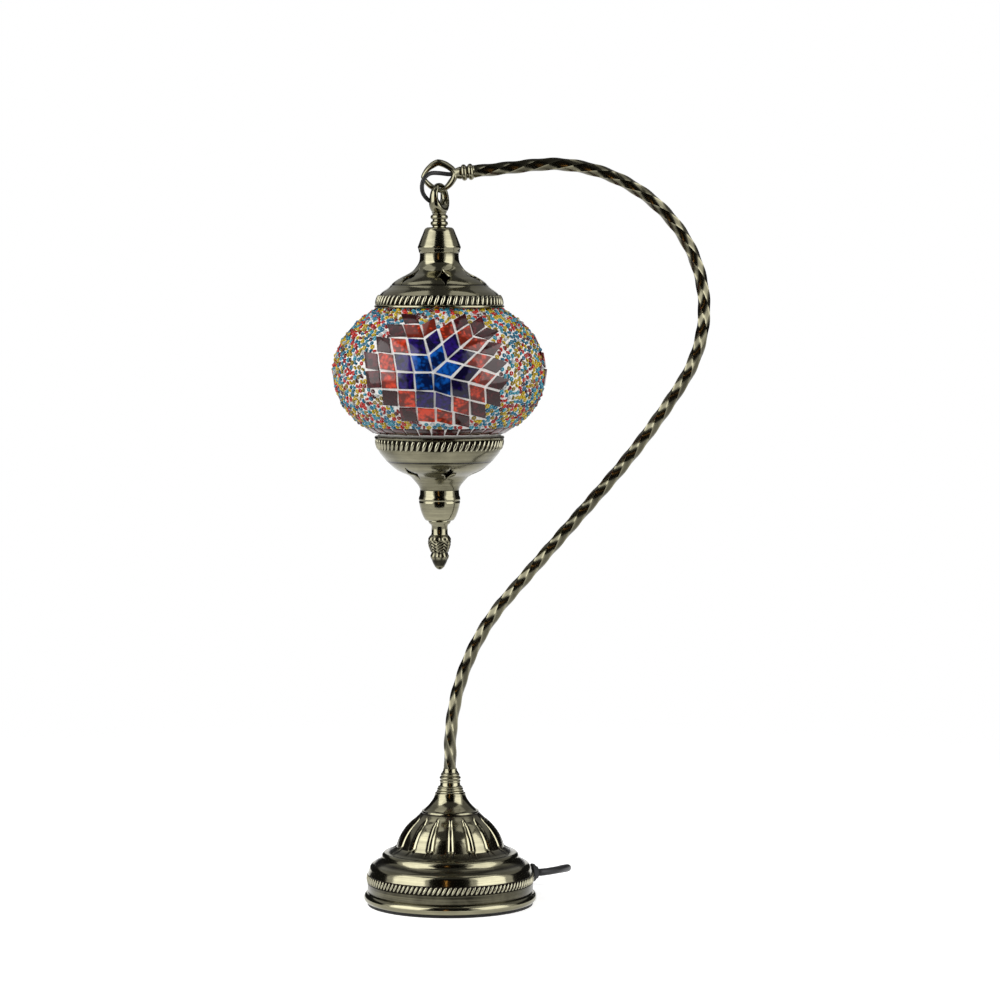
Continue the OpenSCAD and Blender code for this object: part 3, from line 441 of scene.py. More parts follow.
def coil_point(t):
    """A place in the coil after t turns: inwards below, half a turn up, outwards above."""
    if t < COIL_TURNS:
        r = COIL_R - COIL_PITCH * t
    elif t > COIL_TURNS + 0.5:
        r = COIL_R - COIL_PITCH * (2 * COIL_TURNS + 0.5 - t)
    else:
        s = t - COIL_TURNS
        r = COIL_R - COIL_PITCH * (COIL_TURNS + s - 2 * s * s)
    z = COIL_LOW + COIL_PITCH * max(0, min(1, 2 * (t - COIL_TURNS)))
    a = math.radians(180 - 360 * t)
    return Vector((COIL_MID[0] + r * math.cos(a), COIL_MID[1] + r * math.sin(a), z))


coil_points = [coil_point(i / COIL_STEPS) for i in range(int(COIL_STEPS * (2 * COIL_TURNS + 0.5)) + 1)]
run_path = [p * MM for p in smooth_path(run_points, 8)]
coil_path = [p * MM for p in smooth_path(link_points + coil_points + tail_points, 4)]
for title, path in (("base to switch", run_path), ("switch to plug", coil_path)):
    print("cord,", title, round(length_of(path), 3), "m")

# %% [markdown]
# ## Finishes
# The metal is brass with a brown-black antique bath that was polished off the high places. On turned
# pieces the polishing wheel left fine rings, and in hollows the black stayed. Several finishes use these
# effects, so each is a node group: one puts out turning rings, one cloudy patina with painted shade and
# one a fine grain. A piece may carry an attribute which says where its colour is darkened, partly as the
# black bath and partly as painted shade, and where, below 0, it is painted lighter as a highlight.

# %% Tools for finishes
def noise(tree, place, scale, detail, **more):
    return add(tree, "ShaderNodeTexNoise", None, {"Vector": place, "Scale": scale, "Detail": detail, **more})


def mix_colour(tree, factor, a, b):
    """A colour mix; its result is output 2."""
    return add(tree, "ShaderNodeMix", {"data_type": "RGBA"}, {0: factor, 6: a, 7: b})


def shade_group(name, inputs, outputs):
    return new_tree(name, "ShaderNodeTree", inputs, outputs)


def use_group(tree, group, inputs):
    return add(tree, "ShaderNodeGroup", {"node_tree": group}, inputs)


def finish(name, **sockets):
    """A material with a Principled shader whose constant sockets are set; returns it, its tree and shader."""
    mat = bpy.data.materials.new(name)
    mat.use_nodes = True
    shader = mat.node_tree.nodes["Principled BSDF"]
    for key, value in sockets.items():
        shader.inputs[key.replace("_", " ")].default_value = value
    return mat, mat.node_tree, shader


def place_of(tree, axis_x=0.0):
    """Object coordinates, moved so that the piece's own upright axis is at zero."""
    where = add(tree, "ShaderNodeTexCoord")
    return add(tree, "ShaderNodeMapping", None,
               {"Vector": (where, "Object"), "Location": (-axis_x, 0, 0)})


def own_number(tree, name):
    """What an attribute of the mesh says."""
    return add(tree, "ShaderNodeAttribute", {"attribute_name": name})


print("finish tools ready")

# %% Shared effects: turning rings, patina with painted shade, and fine grain
def turning_rings_group():
    t, gin, gout = shade_group(
        "turning_rings", [("Place", "Vector", None), ("Rings per metre", "Float", 1400.0)],
        [("Height", "Float"), ("Shade", "Float")])
    xyz = add(t, "ShaderNodeSeparateXYZ", None, {0: (gin, "Place")})
    flat = combine(t, X=(xyz, "X"), Y=(xyz, "Y"))
    out = vector_math(t, "LENGTH", {0: (flat, 0)})
    angle = math_node(t, "ARCTAN2", (xyz, "Y"), (xyz, "X"))
    slow = math_node(t, "MULTIPLY", (angle, 0), 0.0006)
    row = combine(t, X=(out, "Value"), Y=(xyz, "Z"), Z=(slow, 0))
    fine = noise(t, (row, 0), (gin, "Rings per metre"), 3.0, Roughness=0.7)
    broad = noise(t, (row, 0), 320.0, 2.0)
    both = math_node(t, "ADD", (fine, 0), (broad, 0))
    half = math_node(t, "MULTIPLY", (both, 0), 0.5)
    feed(t, gout, {"Height": (fine, 0), "Shade": (half, 0)})
    return t


def patina_and_shade_group():
    t, gin, gout = shade_group(
        "patina_and_shade", [("Place", "Vector", None), ("Polished", "Color", (0.3, 0.26, 0.18, 1)),
                   ("Bath and shade colour", "Color", (0.03, 0.025, 0.018, 1)), ("Shade", "Float", 0.5),
                   ("Soot", "Float", 0.0), ("Cloud size", "Float", 60.0)],
        [("Color", "Color"), ("Roughness", "Float")])
    cloud = noise(t, (gin, "Place"), (gin, "Cloud size"), 4.0, Roughness=0.6)
    worn = map_range(t, (cloud, 0), 0.3, 0.72, 0.0, 0.28)
    lines = map_range(t, (gin, "Shade"), 0.35, 0.65, 0.34, 0.0)
    dull = math_node(t, "ADD", (worn, 0), (lines, 0))
    # The piece's darkening is black bath and painted shade; below 0 it lightens the colour as a painted
    # highlight.
    dark = math_node(t, "ADD", (dull, 0), (gin, "Soot"), True)
    colour = mix_colour(t, (dark, 0), (gin, "Polished"), (gin, "Bath and shade colour"))
    rough = map_range(t, (dark, 0), 0.0, 1.0, 0.07, 0.27)
    feed(t, gout, {"Color": (colour, 2), "Roughness": (rough, 0)})
    return t


def fine_grain_group():
    t, gin, gout = shade_group(
        "fine_grain", [("Place", "Vector", None), ("Color", "Color", (0.5, 0.5, 0.5, 1)),
                       ("Grains per metre", "Float", 3000.0), ("Contrast", "Float", 0.2)],
        [("Color", "Color"), ("Height", "Float")])
    grain = noise(t, (gin, "Place"), (gin, "Grains per metre"), 3.0)
    away = math_node(t, "SUBTRACT", (grain, 0), 0.5)
    swing = math_node(t, "MULTIPLY", (away, 0), (gin, "Contrast"))
    level = math_node(t, "ADD", (swing, 0), 1.0)
    tinted = vector_math(t, "SCALE", {0: (gin, "Color"), "Scale": (level, 0)})
    feed(t, gout, {"Color": (tinted, 0), "Height": (grain, 0)})
    return t


RINGS, PATINA_AND_SHADE, GRAIN = turning_rings_group(), patina_and_shade_group(), fine_grain_group()
print("groups:", RINGS.name, PATINA_AND_SHADE.name, GRAIN.name)

# %% Metals
# The dark colour is the black bath's, and also that of the painted shade.
POLISHED, BATH_AND_SHADE = (0.3, 0.282, 0.19, 1), (0.009, 0.008, 0.006, 1)
RINGS_PER_METRE = 1500.0


def bumped(tree, shader, height, depth):
    bump = add(tree, "ShaderNodeBump", None, {"Height": height, "Strength": 0.6, "Distance": depth})
    feed(tree, shader, {"Normal": (bump, 0)})


def bronze(name, axis_x=0.0, rings=0.0, polished=POLISHED, depth=7e-6):
    """Antique bronze, with turning rings round an axis where rings says how many to the metre."""
    mat, t, shader = finish(name, Metallic=1.0)
    place = place_of(t, axis_x)
    # Where the piece's colour is darkened: black bath and painted shade.
    bath_and_shade = own_number(t, "bath_and_shade")
    inputs = {"Place": (place, 0), "Polished": polished, "Bath and shade colour": BATH_AND_SHADE, "Soot": (bath_and_shade, "Fac")}
    if rings:
        marks = use_group(t, RINGS, {"Place": (place, 0), "Rings per metre": rings})
        inputs["Shade"] = (marks, "Shade")
        bumped(t, shader, (marks, "Height"), depth)
    else:
        cast = noise(t, (place, 0), 900.0, 3.0)
        bumped(t, shader, (cast, 0), depth)
    worn = use_group(t, PATINA_AND_SHADE, inputs)
    feed(t, shader, {"Base Color": (worn, "Color"), "Roughness": (worn, "Roughness")})
    return mat


def grained(name, colour, grains, contrast, depth, **sockets):
    """A finish of one colour with a fine grain in its colour and in its surface."""
    mat, t, shader = finish(name, **sockets)
    place = place_of(t)
    grain = use_group(t, GRAIN, {"Place": (place, 0), "Color": (*colour, 1), "Grains per metre": grains,
                                 "Contrast": contrast})
    feed(t, shader, {"Base Color": (grain, "Color")})
    bumped(t, shader, (grain, "Height"), depth)
    return mat


spun_lantern = bronze("spun_bronze_lantern", LANTERN_X * MM, RINGS_PER_METRE)
spun_base = bronze("spun_bronze_base", 0.0, RINGS_PER_METRE)
cast_bronze = bronze("cast_bronze", polished=(0.26, 0.245, 0.165, 1), depth=6e-6)
smooth_bronze = bronze("smooth_bronze", depth=1e-6)
# The rope beads' bronze is paler than the polished metal, a painted highlight.
bead_bronze_painted_highlight = bronze("bead_bronze_painted_highlight", polished=(0.42, 0.4, 0.29, 1))
brass = grained("plain_brass", (0.62, 0.44, 0.16), 900.0, 0.25, 1e-5, Metallic=1.0, Roughness=0.35)
zinc = grained("zinc_steel", (0.55, 0.55, 0.53), 1200.0, 0.3, 1e-5, Metallic=1.0, Roughness=0.4)
iron = grained("cast_iron", (0.12, 0.11, 0.1), 700.0, 0.5, 8e-5, Metallic=0.6, Roughness=0.65)
print("metals made")

# %% [markdown]
# ## Plain finishes
# Felt, rubber, plastic and grout differ mostly in how coarse their grain is and how sharply they shine.
# One recipe with other numbers serves them all.

# %% Plain finishes
felt = grained("black_felt", (0.012, 0.012, 0.012), 1600.0, 1.2, 3e-4, Roughness=0.95, Sheen_Weight=0.2)
rubber = grained("black_rubber", (0.018, 0.018, 0.019), 1500.0, 0.4, 3e-5, Roughness=0.6,
                 Specular_IOR_Level=0.3)
cord_skin = grained("black_cord", (0.014, 0.014, 0.015), 800.0, 0.3, 2e-5, Roughness=0.4,
                    Specular_IOR_Level=0.3)
lead_skin = grained("black_lead", (0.016, 0.016, 0.017), 900.0, 0.3, 2e-5, Roughness=0.4,
                    Specular_IOR_Level=0.25)
moulded = grained("black_plastic", (0.02, 0.02, 0.021), 2600.0, 0.4, 3e-5, Roughness=0.38)
pale_plastic = grained("pale_plastic", (0.72, 0.68, 0.58), 1800.0, 0.08, 2e-5, Roughness=0.4)
plaster = grained("plaster", (0.78, 0.75, 0.69), 900.0, 0.3, 1e-4, Roughness=0.9)
grout = grained("white_grout", (0.9, 0.89, 0.86), 1300.0, 0.25, 1.2e-4, Roughness=0.75)
bulb_glass = grained("frosted_bulb", (0.93, 0.93, 0.9), 2000.0, 0.03, 1e-5, Roughness=0.35,
                     Transmission_Weight=0.6)
globe_glass = grained("globe_glass", (0.9, 0.93, 0.93), 300.0, 0.05, 2e-5, Roughness=0.08,
                      Transmission_Weight=0.8)
print("plain finishes made")

# %% [markdown]
# ## Solids that keep their shape
# Lamp holder, bulb, nuts and weight are rigid and mostly hidden. The switch, the tie and the plug are
# mouldings. Their solids already have the right shape, so they keep it, and each gets its own finish:
# brass, zinc, iron, plaster, plastic or glass.

# %% Finishes of the solids that stay
def dress(material, *names):
    for name in names:
        nodes[name].data.materials.clear()
        nodes[name].data.materials.append(material)


dress(felt, "felt_pad")
dress(iron, "base_weight")
dress(zinc, "stem_washer", "stem_lock_nut", "canopy_nut", "bulb_cap", "finial_rod", "finial_nut",
      "rocker_pin", "switch_screws")
dress(brass, "stem_nipple", "hanger_nipple", "holder_contact", "plug_blades")
dress(lead_skin, "lead_in_arm", "lead_in_lantern")
dress(rubber, "cord_clamp")
dress(pale_plastic, "wire_connectors")
dress(moulded, "holder_cap", "holder_body", "switch_base", "switch_cover", "switch_rocker", "plug_body",
      "coil_tie")
dress(bulb_glass, "bulb_glass")
dress(globe_glass, "globe_glass_upper", "globe_glass_lower_left", "globe_glass_lower_right")
dress(plaster, "top_bedding", "bottom_bedding")
print("solids dressed")

# %% [markdown]
# ## Cord pieces
# The two stretches of cord are round tubes along their routes. On each side of the hand switch a short
# ribbed sleeve keeps the cord from kinking.

# %% The cord, its sleeves and what is on it
CORD_BODY = "stand"


def cord_piece(name, path, *replaced):
    bm = bmesh.new()
    tube(bm, path, CORD_D / 2 * MM, 14)
    return put_on(new_piece(name, bm, cord_skin), CORD_BODY, "black_cord", *replaced)


def ribbed_sleeve(name, start, end, ribs, thick=3.7, thin=2.7):
    """A tapered strain relief between two places in millimetres."""
    bm = bmesh.new()
    steps = 6 * ribs
    start, end = Vector(start) * MM, Vector(end) * MM
    line = [start.lerp(end, i / steps) for i in range(steps + 1)]

    def radius(s):
        ring = 1.0 if (s * ribs) % 1 < 0.62 else 0.0
        return (thick + (thin - thick) * s - 0.45 * (1 - ring) * (s < 0.98)) * MM

    tube(bm, line, radius, 20)
    return put_on(new_piece(name, bm, rubber), CORD_BODY, "black_rubber")


run_cord = cord_piece("mains_cord_to_switch", run_path, "mains_cord_run")
coil_cord = cord_piece("mains_cord_to_plug", coil_path, "mains_cord_link", "cord_coil", "mains_cord_tail")
near_switch = ribbed_sleeve("switch_sleeve_right", (31.8, 65, 6.8), (43, 65, 6.95), 5)
past_switch = ribbed_sleeve("switch_sleeve_left", (-21.8, 65, 6.8), (-28, 65.6, 6.5), 3)
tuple(run_path[0])
length_of(run_path)
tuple(coil_path[0])
length_of(coil_path)
print("cord pieces:", run_cord.name, coil_cord.name)

# %% [markdown]
# ## Geometry Nodes
# Beads, rope bands and the arm all repeat a shape or follow a path, so each is a node tree with named
# sizes. A tree is put on a carrier mesh as a modifier, evaluated once, and its result is kept as a plain
# mesh. The carrier goes away.

# %% Tools for geometry trees
def geo_tree(name, inputs):
    """A geometry tree with named inputs; returns it with its input and output nodes."""
    shape = ("Geometry", "Geometry")
    return new_tree(name, "GeometryNodeTree", [(*shape, None)] + inputs, [shape])


def end_tree(t, gin, gout, shape, smooth=True):
    """Ends a tree: real geometry, smooth if asked, with the finish that the tree was given."""
    whole = add(t, "GeometryNodeRealizeInstances", None, {0: shape})
    if smooth:
        whole = add(t, "GeometryNodeSetShadeSmooth", None, {0: (whole, 0)})
    done = add(t, "GeometryNodeSetMaterial", None, {0: (whole, 0), "Material": (gin, "Finish")})
    feed(t, gout, {0: (done, 0)})
    return t


def circle(t, points, radius):
    return add(t, "GeometryNodeCurvePrimitiveCircle", {"mode": "RADIUS"},
               {"Resolution": points, "Radius": radius})


def evaluated_mesh(obj):
    """What an object's modifiers make of it, as a plain mesh."""
    shown = obj.evaluated_get(bpy.context.evaluated_depsgraph_get())
    return bpy.data.meshes.new_from_object(shown)


def grown(name, carrier, tree, values):
    """Runs a tree on a carrier object and keeps the result as a plain mesh piece; the carrier is removed."""
    mod = carrier.modifiers.new("grow", "NODES")
    mod.node_group = tree
    for socket in tree.interface.items_tree:
        if socket.in_out == "INPUT" and socket.name in values:
            mod[socket.identifier] = values[socket.name]
    mesh = evaluated_mesh(carrier)
    mesh.name = name
    bpy.data.objects.remove(carrier)
    return linked(name, mesh)


def line_carrier(name, points):
    """A carrier that is a mesh line through points in metres."""
    mesh = bpy.data.meshes.new(name)
    mesh.from_pydata([tuple(p) for p in points], [(i, i + 1) for i in range(len(points) - 1)], [])
    return linked(name, mesh)


print("geometry tools ready")

# %% [markdown]
# ## Twisted arm
# The arm is a five-sided bar, twisted and then bent into a swan's neck. Each flat shows as a slim lens
# that runs round the bar, with a bright ridge on both sides. A sweep with a five-sided outline and a
# steady tilt along the curve gives just that. The outline's sides are round enough to keep the bar's edge
# straight. The flats are painted dark, partly as black bath and partly as the dark reflection that they
# show, and the ridges are polished.

# %% The route of the arm
ARM_BENDS = [(17, 0), (143, -41.1), (90, 0), (509, 8.8), (82.8, 70.8), (94.9, 57.6), (36.8, 0)]
ARM_FOOT, ARM_LEAD, ARM_FLATS, RIDGE_R = 77.0, 74, 5, 3.94


def arm_route(step=1.5):
    """Points along the arm and its last heading: straight runs are (length, 0), bends (radius, angle)."""
    x, z, heading = 0.0, ARM_FOOT, 90.0
    out = [Vector((x, 0, z))]
    for size, angle in ARM_BENDS:
        run = size if angle == 0 else size * abs(math.radians(angle))
        count = max(2, round(run / step))
        turn, chord = angle / count, run / count
        if angle:
            chord = 2 * size * math.sin(abs(math.radians(turn)) / 2)
        for _ in range(count):
            mid = math.radians(heading + turn / 2)
            x, z, heading = x + chord * math.cos(mid), z + chord * math.sin(mid), heading + turn
            out.append(Vector((x, 0, z)))
    return [p * MM for p in out], heading


arm_points, tip_heading = arm_route()
print("arm", round(length_of(arm_points), 4), "m long, tip at", [round(c / MM, 2) for c in arm_points[-1]])

# %% The arm as a sweep
POINTS_PER_FLAT = 8.0


def arm_tree():
    t, gin, gout = geo_tree("twisted_bar", [
        ("Ridge radius", "Float", 0.004), ("Flats", "Int", 5), ("Lead", "Float", 0.074),
        ("Roundness", "Float", 0.1), ("Bath and dark reflection on the flats", "Float", 0.5), ("Finish", "Material", None)])
    curve = add(t, "GeometryNodeMeshToCurve", None, {0: (gin, "Geometry")})
    normal = add(t, "GeometryNodeSetCurveNormal", None, {0: (curve, 0)})
    along = add(t, "GeometryNodeSplineParameter")
    turns = math_node(t, "DIVIDE", (along, "Length"), (gin, "Lead"))
    tilt = math_node(t, "MULTIPLY", (turns, 0), -2 * math.pi)
    tilted = add(t, "GeometryNodeSetCurveTilt", None, {"Curve": (normal, 0), "Tilt": (tilt, 0)})
    corners = math_node(t, "MULTIPLY", (gin, "Flats"), POINTS_PER_FLAT)
    ring = circle(t, (corners, 0), (gin, "Ridge radius"))
    index = add(t, "GeometryNodeInputIndex")
    part = math_node(t, "DIVIDE", (index, 0), POINTS_PER_FLAT)
    share = math_node(t, "FRACT", (part, 0))
    middle = math_node(t, "SUBTRACT", (share, 0), 0.5)
    corner = math_node(t, "DIVIDE", 2 * math.pi, (gin, "Flats"))
    turn = math_node(t, "MULTIPLY", (middle, 0), (corner, 0))
    half = math_node(t, "MULTIPLY", (corner, 0), 0.5)
    near, far = (math_node(t, "COSINE", (angle, 0)) for angle in (half, turn))
    flat = math_node(t, "DIVIDE", (near, 0), (far, 0))
    depth = add(t, "ShaderNodeMix", None, {0: (gin, "Roundness"), 2: (flat, 0), 3: 1.0})
    where = add(t, "GeometryNodeInputPosition")
    drawn = vector_math(t, "SCALE", {0: (where, 0), "Scale": (depth, 0)})
    outline = add(t, "GeometryNodeSetPosition", None, {"Geometry": (ring, 0), "Position": (drawn, 0)})
    # Painted dark reflection and black bath: darker towards the middle of each flat.
    from_middle = math_node(t, "ABSOLUTE", (middle, 0))
    flat_bath_and_reflection = map_range(t, (from_middle, 0), 0.5, 0.24, 0.0, (gin, "Bath and dark reflection on the flats"))
    marked = add(t, "GeometryNodeStoreNamedAttribute", {"data_type": "FLOAT", "domain": "POINT"},
                 {"Geometry": (outline, 0), "Name": "bath_and_shade", "Value": (flat_bath_and_reflection, 0)})
    bar = add(t, "GeometryNodeCurveToMesh", None,
              {"Curve": (tilted, 0), "Profile Curve": (marked, 0), "Fill Caps": True})
    return end_tree(t, gin, gout, (bar, 0), smooth=False)


def soften(piece, angle):
    bm = bmesh.new()
    bm.from_mesh(piece.data)
    shade(bm, angle)
    bm.to_mesh(piece.data)
    bm.free()


arm = grown("twisted_arm", line_carrier("arm_line", arm_points), arm_tree(),
            {"Ridge radius": RIDGE_R * MM, "Flats": ARM_FLATS, "Lead": ARM_LEAD * MM, "Roundness": 0.45,
             "Bath and dark reflection on the flats": 0.42, "Finish": smooth_bronze})
soften(arm, 12)
put_on(arm, "stand", "antique_bronze", "swan_arm")

# %% [markdown]
# ## Base
# The base is spun from sheet: a rolled foot, a straight wall with a rope band, a rolled shoulder, a step
# and a dome with sixteen narrow grooves that end in round tops. The wall and dome are turned here from
# the same outline as the solid, with many more points round, and the grooves are pressed into it. The
# colour is darkened at the edges of the grooves, in the steps and under the rope, as black bath and
# painted shade; inside the grooves it is painted lighter, as a highlight, and the wall below the rope is
# darker. So the function that presses the grooves also says where their edges are.

# %% The fluted shell
SHELL = ([(50.0, 7.5), (50.6, 9.5), (50.6, 13.1), (50.2, 13.3), (50.2, 18.6), (50.5, 18.9), (50.0, 20.4)]
         + arc_points((45, 21), 4.6, 10, 75, 8) + [(44.3, 26.6), (42.5, 28.2)]
         + arc_points((39, 29.2), 2.9, 5, 80, 8) + [(38.0, 32.3), (36.4, 33.3)])
DOME = (arc_points((3, 27.5), 31, 15, 55, 40)
        + [(19.5, 54.3), (18.2, 55.6), (17.5, 56.2), (17.5, 56.9), (17.2, 57.5)])
CROWN_STEPS = 12
CROWN = [(9.3 + 7.1 * (k / CROWN_STEPS) ** 1.75, 68 - 10.4 * k / CROWN_STEPS)
         for k in range(CROWN_STEPS, -1, -1)]
SHEET = 1.2
FLUTES, FLUTE_WIDE, FLUTE_DEEP, FLUTE_TURN = 16, 0.42, 2.4, 0.06
FLUTE_FOOT, FLUTE_TOP = 34.6, 54.4
STRIP_LOW, STRIP_HIGH = 13.2, 18.8
STEPS = ((44.0, 26.8), (37.0, 33.0), (18.0, 56.2))


def groove(angle, z):
    """Share of a groove's depth at a place on the dome, and its black bath and painted shade: most at the
    edge, below 0 inside, a painted highlight.
    """
    slot = (math.degrees(angle) + 90) / (360 / FLUTES) - FLUTE_TURN
    off = abs((slot + 0.5) % 1 - 0.5) * 2
    up = (z - FLUTE_FOOT) / (FLUTE_TOP - FLUTE_FOOT)
    if not 0 < up < 1:
        return 0.0, 0.0
    taper = min(1, 9 * up, 5 * (1 - up))
    width = FLUTE_WIDE * math.sqrt(taper)
    share = min(1.0, off / width)
    edge = math.exp(-((off - width) / 0.07) ** 2) - 0.5 * (share < 0.8)
    return math.sqrt(1 - share ** 2) * taper, edge


def base_bath_and_shade(x, y, z):
    out = math.hypot(x, y)
    # Black bath and painted shade at the groove edges, and a painted highlight inside the grooves.
    mark = 0.92 * groove(math.atan2(y, x), z)[1]
    # Black bath and painted shade in the steps.
    step = max(math.exp(-((z - h) / 0.5) ** 2) * (abs(out - r) < 2.5) for r, h in STEPS)
    # Painted shade and black bath on the strip under the rope beads.
    band = 0.95 * (STRIP_LOW < z < STRIP_HIGH and out > 48)
    # Darker on the wall below the rope.
    wall = 0.45 * (z < STRIP_LOW)
    return min(1.0, mark + 0.75 * step + band + wall)


def base_shell():
    bm = bmesh.new()
    outline = SHELL + DOME + CROWN
    inner = [(r - SHEET, z - 0.9) for r, z in reversed(outline[1:])] + [(50.0 - SHEET, 7.5)]
    turned(bm, outline + inner + outline[:1], 512,
           ripple=lambda a, r, z: -FLUTE_DEEP * groove(a, z)[0] if r > 17 and z > 33 else 0)
    shell = new_piece("fluted_shell", bm, spun_base, smooth=35)
    blacken(shell.data, base_bath_and_shade)
    return shell


put_on(base_shell(), "stand", "antique_bronze", "base_shell")

# %% [markdown]
# ## Foot, collar and bush
# The foot is a rolled rim with a flat floor. The collar that holds the arm is a small turning of beads
# and hollows. The black bush where the cord leaves is a moulded rubber cone. All are turned from short
# outlines.

# %% Foot, collar and bush
FOOT = ([(0, 4.2), (48.6, 4.2), (48.8, 3.4)] + arc_points((49.8, 4.5), 3.0, -110, 150, 22)
        + [(47.0, 5.6), (0, 5.6)])
COLLAR = ([(4.4, 68), (8.2, 68)]
          + arc_points((7.6, 68.9), 0.8, -50, 70, 8) + arc_points((7.1, 70.4), 0.9, -50, 70, 8)
          + arc_points((7.0, 71.7), 0.5, -50, 70, 8) + [(6.5, 72.4), (6.2, 73.1), (6.2, 74.0)]
          + arc_points((5.6, 75.3), 0.8, -60, 60, 8) + arc_points((5.7, 77.3), 0.8, -60, 60, 8)
          + arc_points((4.9, 79.3), 0.9, -50, 75, 10)
          + [(4.8, 81), (4.3, 81.6), (4.2, 83), (4.0, 83), (4.0, 70), (4.4, 68)])
BUSH = [(2.35, 46.6), (5.0, 46.6), (5.0, 48.2), (4.1, 48.2), (4.1, 51.5), (5.5, 51.5), (5.75, 52.0),
        (5.4, 53.2), (4.6, 53.9), (3.9, 54.6), (3.6, 55.4), (2.95, 55.6), (2.35, 55.6), (2.35, 46.6)]


def cord_bush():
    bm = bmesh.new()
    turned(bm, BUSH, 40)
    turn = Matrix.Rotation(math.radians(BUSH_TURN), 4, "Z") @ Matrix.Rotation(math.radians(90), 4, "Y")
    bmesh.ops.transform(bm, matrix=Matrix.Translation((0, 0, BUSH_Z * MM)) @ turn, verts=bm.verts)
    return new_piece("cord_bush", bm, rubber)


put_on(turned_piece("rolled_foot", FOOT, 192, spun_base, 50), "stand", "antique_bronze", "base_pan")
put_on(turned_piece("turned_collar", COLLAR, 96, spun_base, 50), "stand", "antique_bronze", "stem_collar")
put_on(cord_bush(), "stand", "black_rubber", "cord_grommet")

# %% [markdown]
# ## Rope bands
# The base and both canopies carry a band of slanted beads, rolled into the sheet by a knurling wheel.
# Each bead is a small lens, longer than wide and leaning to one side, in a bronze paler than the polished
# metal, as a painted highlight. A tree puts one bead at each of many places on a ring, turned with it. The
# strip under the beads is painted black, as black bath and as the shade between the beads.

# %% The rope band tree
def rope_tree():
    t, gin, gout = geo_tree("rope_band", [
        ("Beads", "Int", 64), ("Ring radius", "Float", 0.04), ("Long", "Float", 0.006),
        ("Wide", "Float", 0.002), ("Thick", "Float", 0.0016), ("Lean", "Float", 0.3), ("Slope", "Float", 0.0),
        ("Finish", "Material", None)])
    ring = circle(t, (gin, "Beads"), (gin, "Ring radius"))
    ball = add(t, "GeometryNodeMeshUVSphere", None, {"Segments": 10, "Rings": 7, "Radius": 0.5})
    shape = combine(t, X=(gin, "Thick"), Y=(gin, "Wide"), Z=(gin, "Long"))
    lens = add(t, "GeometryNodeTransform", None, {"Geometry": (ball, 0), "Scale": (shape, 0)})
    lean = combine(t, X=(gin, "Lean"), Y=(gin, "Slope"))
    leaning = add(t, "GeometryNodeTransform", None, {"Geometry": (lens, 0), "Rotation": (lean, 0)})
    where = add(t, "GeometryNodeInputPosition")
    turn = add(t, "FunctionNodeAlignRotationToVector", {"axis": "X", "pivot_axis": "Z"},
               {"Vector": (where, 0)})
    beads = add(t, "GeometryNodeInstanceOnPoints", None,
                {"Points": (ring, 0), "Instance": (leaning, 0), "Rotation": (turn, 0)})
    return end_tree(t, gin, gout, (beads, 0))


ROPE = rope_tree()


def rope_band(name, body, at, beads, radius, long, wide, thick, lean, slope=0.0):
    """A band of slanted beads round an upright axis; sizes in millimetres, lean and slope in degrees."""
    band = grown(name, line_carrier(name + "_line", [(0, 0, 0), (0, 0, 0.001)]), ROPE,
                 {"Beads": beads, "Ring radius": radius * MM, "Long": long * MM, "Wide": wide * MM,
                  "Thick": thick * MM, "Lean": math.radians(lean), "Slope": math.radians(slope),
                  "Finish": bead_bronze_painted_highlight})
    band.data.transform(Matrix.Translation(Vector(at) * MM))
    return put_on(band, body, "antique_bronze")


rope_band("base_rope", "stand", (0, 0, 16.0), 108, 50.5, 5.8, 1.9, 1.6, -30)

# %% [markdown]
# ## Ring and hanger
# Both are small castings: an eye of ridged wire that grows out of a collar with two beads. The wire turns
# as it goes round, so its ridge wanders from the outside of the eye to its face. A section is carried
# round the eye here, with a width and a turn that change with the angle. The hooked places keep the
# solid's size.

# %% Cast eyes
EYE_STEPS, EYE_SIDES = 120, 16


def cast_eye(bm, centre, out, side, radius, wide, thick, turn):
    """Adds a ridged loop to a bmesh; radius, wide, thick and turn are functions of the angle from out."""
    out, side = Vector(out).normalized(), Vector(side).normalized()
    axle = out.cross(side)
    rings = []
    for i in range(EYE_STEPS):
        a = 2 * math.pi * i / EYE_STEPS
        ray = math.cos(a) * out + math.sin(a) * side
        middle = Vector(centre) + radius(a) * ray
        u, v = thick(a) / 2, wide(a) / 2
        c, s = math.cos(turn(a)), math.sin(turn(a))
        ring = []
        for k in range(EYE_SIDES):
            b = 2 * math.pi * k / EYE_SIDES
            e = abs(math.cos(b)) ** 1.35 * math.copysign(u, math.cos(b))
            f = abs(math.sin(b)) ** 0.8 * math.copysign(v, math.sin(b))
            ring.append(bm.verts.new((middle + ray * (e * c - f * s) + axle * (e * s + f * c)) * MM))
        rings.append(ring)
    for a, b in zip(rings, rings[1:] + rings[:1]):
        for k in range(EYE_SIDES):
            n = (k + 1) % EYE_SIDES
            bm.faces.new((a[k], a[n], b[n], b[k]))


def two_beads(r, h):
    """Outline of a collar with two round beads, from its foot up."""
    low, high, b = 0.27 * h, 0.73 * h, h / 5
    return ([(0, 0), (r - 1.1, 0)] + arc_points((r - b, low), b, -75, 75, 8)
            + arc_points((r - b, high), b, -75, 75, 8) + [(r - 1.1, h)])


RING_MID = Vector((LANTERN_X, 0, 443.339))
LOOP_MID = (LANTERN_X, 0, HANGER_FOOT + 17.25)
LOOP_TURN = math.radians(62)
ARM_TIP = Vector((14.945, 0, 445.608))
TIP_DIR = Vector((math.cos(math.radians(tip_heading)), 0, math.sin(math.radians(tip_heading))))


